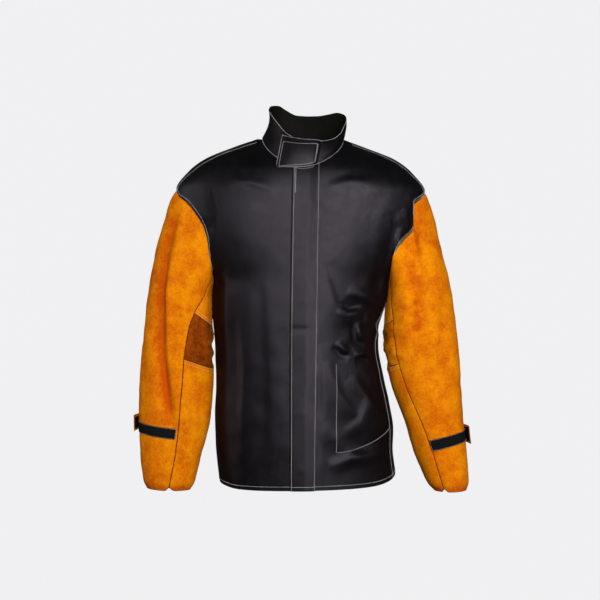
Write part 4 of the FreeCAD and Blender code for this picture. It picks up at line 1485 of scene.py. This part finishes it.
@dataclass
class Sleeve:
    """One split-leather sleeve with its wrist tape and tab."""

    form: SleeveForm
    name: str
    wardrobe: Wardrobe
    pitch: float = 4.6
    leather: float = 2.0
    ramp: float = 190.0

    def attach(self, piece: bpy.types.Object) -> None:
        """Bakes the piece's transform into its mesh."""
        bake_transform(piece)

    def leather_panel(self, seams: Callable[[Array], tuple[Array, Array]], s0: float, s1: float) -> Panel:
        """Cuts a sleeve panel between two seams and two shares of the sleeve's length."""
        v = s0 + (s1 - s0) * shares(SLEEVE_LENGTH * (s1 - s0), self.pitch)
        start, end = seams(v)
        width = float(np.max(np.abs(end - start))) * MM_PER_DEGREE
        u = shares(width, self.pitch)
        aa = start[:, None] * (1 - u[None]) + end[:, None] * u[None]
        bb = np.broadcast_to(v[:, None], aa.shape)
        from_seam = np.minimum(u, 1 - u)[None] * width
        if s1 >= 1.0:
            notch = CUFF_NOTCH * np.exp(-((from_seam / SEAM_REACH) ** 2))
            bb = np.minimum(bb, 1.0 - notch * ease((bb - 0.94) / 0.06))
        sunk = -1.3 * np.exp(-from_seam / 2.2) - 0.5 * np.exp(-from_seam / SEAM_REACH)
        lap = -1.5 * np.exp(-((bb * SLEEVE_LENGTH / 8.0) ** 2)) if s0 <= 0 else 0.0
        return Panel(self.form, aa, bb, sunk + lap, self.leather, 0.9)

    def build(self) -> None:
        """Makes the sleeve's pieces and sews them."""
        seam = UNDER_SEAM[self.form.side]
        top = self.leather_panel(lambda s: (-seam(s), seam(s)), ARMHOLE_START, 1.0)
        pieces = [self.wardrobe.cut(f"suede_{self.name}_top_sleeve", top, Finish.SUEDE, "split_leather",
                                    f"{self.name}_top_sleeve")]
        sewing = Seamstress(radius=0.40)
        spans = {"upper": (ARMHOLE_START, ELBOW[0]), "elbow": ELBOW, "lower": (ELBOW[1], 1.0)}
        # the wearer's right patch takes the darker finish, which is partly painted shade
        patch = Finish.WORN_SUEDE if self.form.side > 0 else Finish.SHADED_DARK_SUEDE
        for label, (s0, s1) in spans.items():
            panel = self.leather_panel(lambda s: (seam(s), 360 - seam(s)), s0, s1)
            node = f"{self.name}_under_sleeve_{label}"
            finish = patch if label == "elbow" else Finish.SUEDE
            pieces.append(self.wardrobe.cut(f"suede_{node}", panel, finish, "split_leather", node))
            if label in CROSS_SEAMS:
                sewing.edges(panel, (CROSS_SEAMS[label], 2.2), (CROSS_SEAMS[label], 8.5))
        stitches = sewing.finish(f"{self.name}_sleeve_stitches")
        pieces.append(self.wardrobe.dress(stitches, Finish.GOLD_THREAD, "split_leather"))
        for piece in pieces:
            self.attach(piece)
        self.wrist()

    def strip(self, start: float, end: float, half: float, lift: object, thick: float,
              shift: float = 0.0) -> Panel:
        """Makes a strip round the wrist. Its lift may be a function of the share from the tab's start."""
        middle = WRIST[self.form.side] + shift
        u = start + (end - start) * shares(abs(end - start) * 0.95, 2.6)
        v = (2 * shares(2 * half * SLEEVE_LENGTH, 2.4) - 1) * half
        aa, vv = np.meshgrid(u, v)
        bb = middle + TAPE_CLIMB * (aa - TAPE_LEVEL) / TAPE_SPAN + vv
        share = np.clip((aa - TAB_START) / (TAB_STOP - TAB_START), 0.0, 1.0)
        rise = lift(share) if callable(lift) else lift
        return Panel(self.form, aa, bb, rise, thick, 0.6)

    def wrist(self) -> None:
        """Makes the loop tape, the leather tab and the hook tape under it."""
        tape = self.strip(-12.0, TAPE_END[self.form.side], 0.0205, 1.4, 1.3)
        piece = self.wardrobe.cut(f"{self.name}_wrist_loop", tape, Finish.PILE, "hook_and_loop",
                                  f"{self.name}_wrist_loop_tape", held="stretched")
        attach(piece, f"{self.name}_sleeve")
        sewing = Seamstress(radius=0.30, length=2.6, gap=0.9)
        sewing.edges(tape, ("left", 1.3), ("right", 1.3), ("low", 1.3), ("high", 1.3))
        stitches = sewing.finish(f"{self.name}_tape_stitches")
        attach(self.wardrobe.dress(stitches, Finish.THREAD, "hook_and_loop"), f"{self.name}_sleeve")

        def standoff(share: Array) -> Array:
            return 7.0 * share**2 - 2.2 * np.clip(1 - share / 0.35, 0.0, 1.0)

        shift, half = TAB_SHIFT[self.form.side], TAB_HALF[self.form.side]
        tab = self.strip(TAB_START, TAB_STOP, half, lambda s: 4.7 + standoff(s), 2.0, shift)
        hook = self.strip(-42.0, 5.0, half - 0.008, lambda s: 2.6 + standoff(s), 1.1, shift)
        names = ((tab, "suede_tab", "wrist_tab", Finish.SUEDE, "split_leather"),
                 (hook, "hook_strip", "wrist_hook_tape", Finish.PILE, "hook_and_loop"))
        pieces = [self.wardrobe.cut(f"{self.name}_{label}", panel, finish, slot, f"{self.name}_{node}")
                  for panel, label, node, finish, slot in names]
        edging = Seamstress(radius=0.36, length=2.8)
        edging.edges(tab, ("right", 2.4), ("low", 2.4), ("high", 2.4))
        stitches = edging.finish(f"{self.name}_tab_stitches")
        pieces.append(self.wardrobe.dress(stitches, Finish.GOLD_THREAD, "split_leather"))
        for item in pieces:
            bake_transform(item)


# ---- studio -------------------------------------------------------------------------------------
@dataclass(frozen=True)
class Softbox:
    """A soft rectangular light."""

    name: str
    place: Point
    width: float
    height: float
    power: float


@dataclass
class Studio:
    """The camera, the lights and the bowl of pale paper round the jacket."""

    target: Point = (0.0, 0.0, -0.34)
    camera_place: Point = (-0.002, -3.13, -0.336)
    lens: float = 83.7
    boxes: tuple[Softbox, ...] = (
        Softbox("key", (0.50, -3.3, 0.50), 2.3, 0.45, 112.0),
        Softbox("low", (2.0, -2.0, -0.10), 0.5, 0.9, 10.0),
        Softbox("side", (-2.5, -0.3, 0.35), 0.8, 1.2, 14.0),
        Softbox("back", (0.0, 3.0, -0.25), 1.0, 0.8, 50.0),
    )
    room_light: float = 0.03
    floor: float = -3.7
    wall: float = 7.0
    wall_top: float = 6.0
    bend: float = 1.5
    bend_steps: int = 8
    bowl_sides: int = 48
    paper_glow: Point = (0.985, 0.985, 1.0)
    glow_seen: float = 0.852
    glow_unseen: float = 0.03

    def build(self) -> None:
        """Makes the studio."""
        scene = bpy.context.scene
        scene.view_settings.view_transform = "Standard"
        camera = bpy.data.cameras.new("camera")
        camera.lens = self.lens
        holder = bpy.data.objects.new("camera", camera)
        holder.location = self.camera_place
        holder.rotation_euler = (math.radians(90), 0, 0)
        scene.collection.objects.link(holder)
        scene.camera = holder
        for box in self.boxes:
            self.light(box)
        self.world()
        self.bowl()

    def light(self, box: Softbox) -> None:
        """Hangs a softbox that faces the jacket."""
        data = bpy.data.lights.new(box.name, "AREA")
        data.shape, data.size, data.size_y, data.energy = "RECTANGLE", box.width, box.height, box.power
        lamp = bpy.data.objects.new(box.name, data)
        lamp.location = box.place
        lamp.visible_camera = False
        lamp.rotation_euler = (Vector(self.target) - Vector(box.place)).to_track_quat("-Z", "Y").to_euler()
        bpy.context.scene.collection.objects.link(lamp)

    def world(self) -> None:
        """Fills the room with a little even light."""
        world = bpy.data.worlds.new("room")
        world.use_nodes = True
        ground = world.node_tree.nodes["Background"]
        ground.inputs[0].default_value = (0.93, 0.94, 0.96, 1)
        ground.inputs[1].default_value = self.room_light
        bpy.context.scene.world = world

    def bowl(self) -> None:
        """Makes the floor and the walls all round as one bowl of pale paper."""
        quarter = [math.pi / 2 * k / self.bend_steps for k in range(self.bend_steps + 1)]
        foot, r = self.wall - self.bend, self.bend
        curve = [(foot + r * math.sin(a), self.floor + r * (1 - math.cos(a))) for a in quarter]
        profile = [(0.02, self.floor), *curve, (self.wall, self.wall_top)]
        turns = [2 * math.pi * k / self.bowl_sides for k in range(self.bowl_sides)]
        points = np.array([(x * math.cos(t), x * math.sin(t), z) for x, z in profile for t in turns]) / MM
        n = np.arange(len(points)).reshape(len(profile), self.bowl_sides)
        after = np.roll(n, -1, axis=1)
        walls = np.stack([n[:-1], after[:-1], after[1:], n[1:]], axis=-1).reshape(-1, 4)
        piece = mesh_object("floor_bowl", points, [walls], sharp=180.0)
        piece.data.materials.append(self.paper())

    def paper(self) -> bpy.types.Material:
        """Makes a paper that hardly reflects light and glows for the camera."""
        material, n, shader = start_material("pale_paper")
        seen = n.add("ShaderNodeLightPath").outputs["Is Camera Ray"]
        n.feed(shader, {
            "Base Color": n.mix(n.noise(n.solid_place(), 3.0), (0.018, 0.018, 0.018), (0.022, 0.022, 0.022)),
            "Roughness": 0.9,
            "Specular IOR Level": 0.0,
            "Emission Color": (*self.paper_glow, 1),
            "Emission Strength": n.math("MULTIPLY_ADD", seen, self.glow_seen, self.glow_unseen),
        })
        return material


# ---- the jacket ---------------------------------------------------------------------------------
FRONT_FOLDS = (
    Fold(((41, -262), (58, -310), (74, -356), (98, -392)), 3.4, 12.0, 22.0, 0.8),
    Fold(((82, -352), (104, -366), (134, -358)), 5.0, 6.0, 14.0, 0.9),
    Fold(((168, -352), (140, -330), (100, -318)), 4.0, 9.0, 16.0, 0.7),
    Fold(((141, -424), (126, -418), (119, -384)), 7.0, 4.5, 10.0, 1.1),
    Fold(((140, -372), (158, -392), (172, -420)), 4.5, 7.0, 12.0, 0.7),
    Fold(((104, -448), (92, -448), (75, -430)), 6.5, 4.0, 11.0, 1.2),
    Fold(((150, -462), (134, -455), (115, -459)), 5.5, 4.0, 9.0, 1.2),
    Fold(((52, -470), (80, -540), (118, -590)), 4.0, 12.0, 22.0, 0.7),
    Fold(((110, -500), (150, -560), (182, -590)), 3.5, 10.0, 18.0, 0.7),
    Fold(((96, -620), (130, -600), (150, -545)), 3.0, 10.0, 18.0, 0.7),
    Fold(((60, -694), (110, -676), (190, -668)), 5.0, 12.0, 16.0, 0.8),
    Fold(((54, -600), (90, -655), (150, -690)), 3.0, 14.0, 20.0, 0.6),
    Fold(((196, -250), (212, -214), (222, -178), (214, -140)), 4.5, 9.0, 14.0, 0.9),
    Fold(((232, -196), (236, -165), (228, -132)), 3.0, 9.0, 12.0, 0.9),
    Fold(((178, -330), (190, -270), (196, -240)), 4.0, 9.0, 16.0, 0.7),
    Fold(((-122, -690), (-118, -480), (-128, -300)), 3.6, 16.0, 34.0, 0.8),
    Fold(((-64, -700), (-60, -520), (-70, -300)), 2.6, 14.0, 26.0, 0.7),
    Fold(((-168, -640), (-170, -460), (-158, -260)), 3.0, 12.0, 22.0, 0.7),
    Fold(((48, -690), (52, -540), (46, -430)), 2.2, 10.0, 14.0, 0.6),
    Fold(((-178, -300), (-196, -230), (-205, -180)), 3.5, 9.0, 12.0, 0.7),
    Fold(((60, -90), (110, -76), (160, -78)), 2.0, 9.0, 14.0, 0.7),
    Fold(((-60, -96), (-110, -80), (-150, -76)), 1.6, 9.0, 14.0, 0.7),
)
BACK_FOLDS = (
    Fold(((-105, -540), (-120, -350), (-180, -230)), 6.0, 18.0, 30.0, 0.8),
    Fold(((105, -560), (125, -350), (180, -230)), 6.0, 18.0, 30.0, 0.8),
    Fold(((-48, -710), (-36, -540), (-44, -360)), 4.0, 18.0, 30.0, 0.7),
    Fold(((52, -720), (38, -560), (46, -380)), 4.0, 18.0, 30.0, 0.7),
    Fold(((-130, -448), (-10, -436), (110, -456)), 4.0, 12.0, 20.0, 0.9),
    Fold(((-150, -500), (-60, -490), (30, -508)), 3.5, 10.0, 18.0, 0.9),
    Fold(((20, -560), (90, -548), (150, -566)), 3.0, 10.0, 18.0, 0.9),
    Fold(((-150, -62), (0, -46), (150, -62)), 2.0, 12.0, 20.0, 0.6),
)
SLEEVE_FOLDS = {
    -1: (
        Fold(((46, 0.01), (57, 0.14), (67, 0.24), (75, 0.37), (81, 0.50), (88, 0.60), (97, 0.70),
              (104, 0.78)), 11.0, 8.0, 42.0, 1.2),
        Fold(((84, 0.74), (66, 0.62), (54, 0.48)), 5.0, 10.0, 24.0, 0.9),
        Fold(((100, 0.52), (92, 0.62), (98, 0.76)), 3.0, 10.0, 18.0, 0.7),
        Fold(((-34, 0.16), (-40, 0.38), (-24, 0.60)), 5.0, 16.0, 26.0, 0.8),
        Fold(((-96, 0.36), (-50, 0.45), (-6, 0.42)), 4.5, 10.0, 18.0, 0.9),
        Fold(((-90, 0.50), (-50, 0.52), (-16, 0.58)), 3.5, 10.0, 16.0, 0.9),
    ),
    1: (
        Fold(((100, 0.08), (105, 0.24), (109, 0.44)), 4.5, 7.0, 16.0, 0.8),
        Fold(((58, 0.30), (66, 0.42), (78, 0.54)), 3.4, 10.0, 16.0, 0.8),
        Fold(((84, 0.40), (74, 0.50), (68, 0.60)), 3.0, 9.0, 14.0, 0.8),
        Fold(((10, 0.20), (8, 0.40), (14, 0.62)), 2.5, 12.0, 22.0, 0.7),
        Fold(((-34, 0.16), (-44, 0.42), (-24, 0.62)), 5.0, 16.0, 26.0, 0.8),
        Fold(((-96, 0.38), (-50, 0.46), (-8, 0.44)), 4.5, 10.0, 18.0, 0.9),
        Fold(((-88, 0.52), (-48, 0.54), (-16, 0.60)), 3.5, 10.0, 16.0, 0.9),
    ),
}
SNAP_NODES = ("snap_sockets", "snap_caps", "snap_studs", "snap_back_plates")


def main() -> None:
    """Builds the jacket around the frame, and the studio."""
    logging.basicConfig(level=logging.INFO, format="%(name)s: %(message)s")
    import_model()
    Studio().build()
    body = BodyForm(FRONT_FOLDS, BACK_FOLDS)
    wardrobe = Wardrobe()
    thread = Seamstress()
    CottonBody(body, wardrobe, thread).build()
    Collar(CollarForm(body), wardrobe, thread).build()
    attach(wardrobe.dress(thread.finish("body_stitches"), Finish.THREAD, "cotton"), "jacket_body")
    FrontFlap(body, wardrobe).build()
    for side, name in ((1, "left"), (-1, "right")):
        Sleeve(SleeveForm(side, body, SLEEVE_FOLDS[side]), name, wardrobe).build()
    for node in SNAP_NODES:
        snap = bpy.data.objects[node]
        for place in snap.material_slots:
            place.material = wardrobe.materials[Finish.SNAP]


if __name__ == "__main__":
    main()
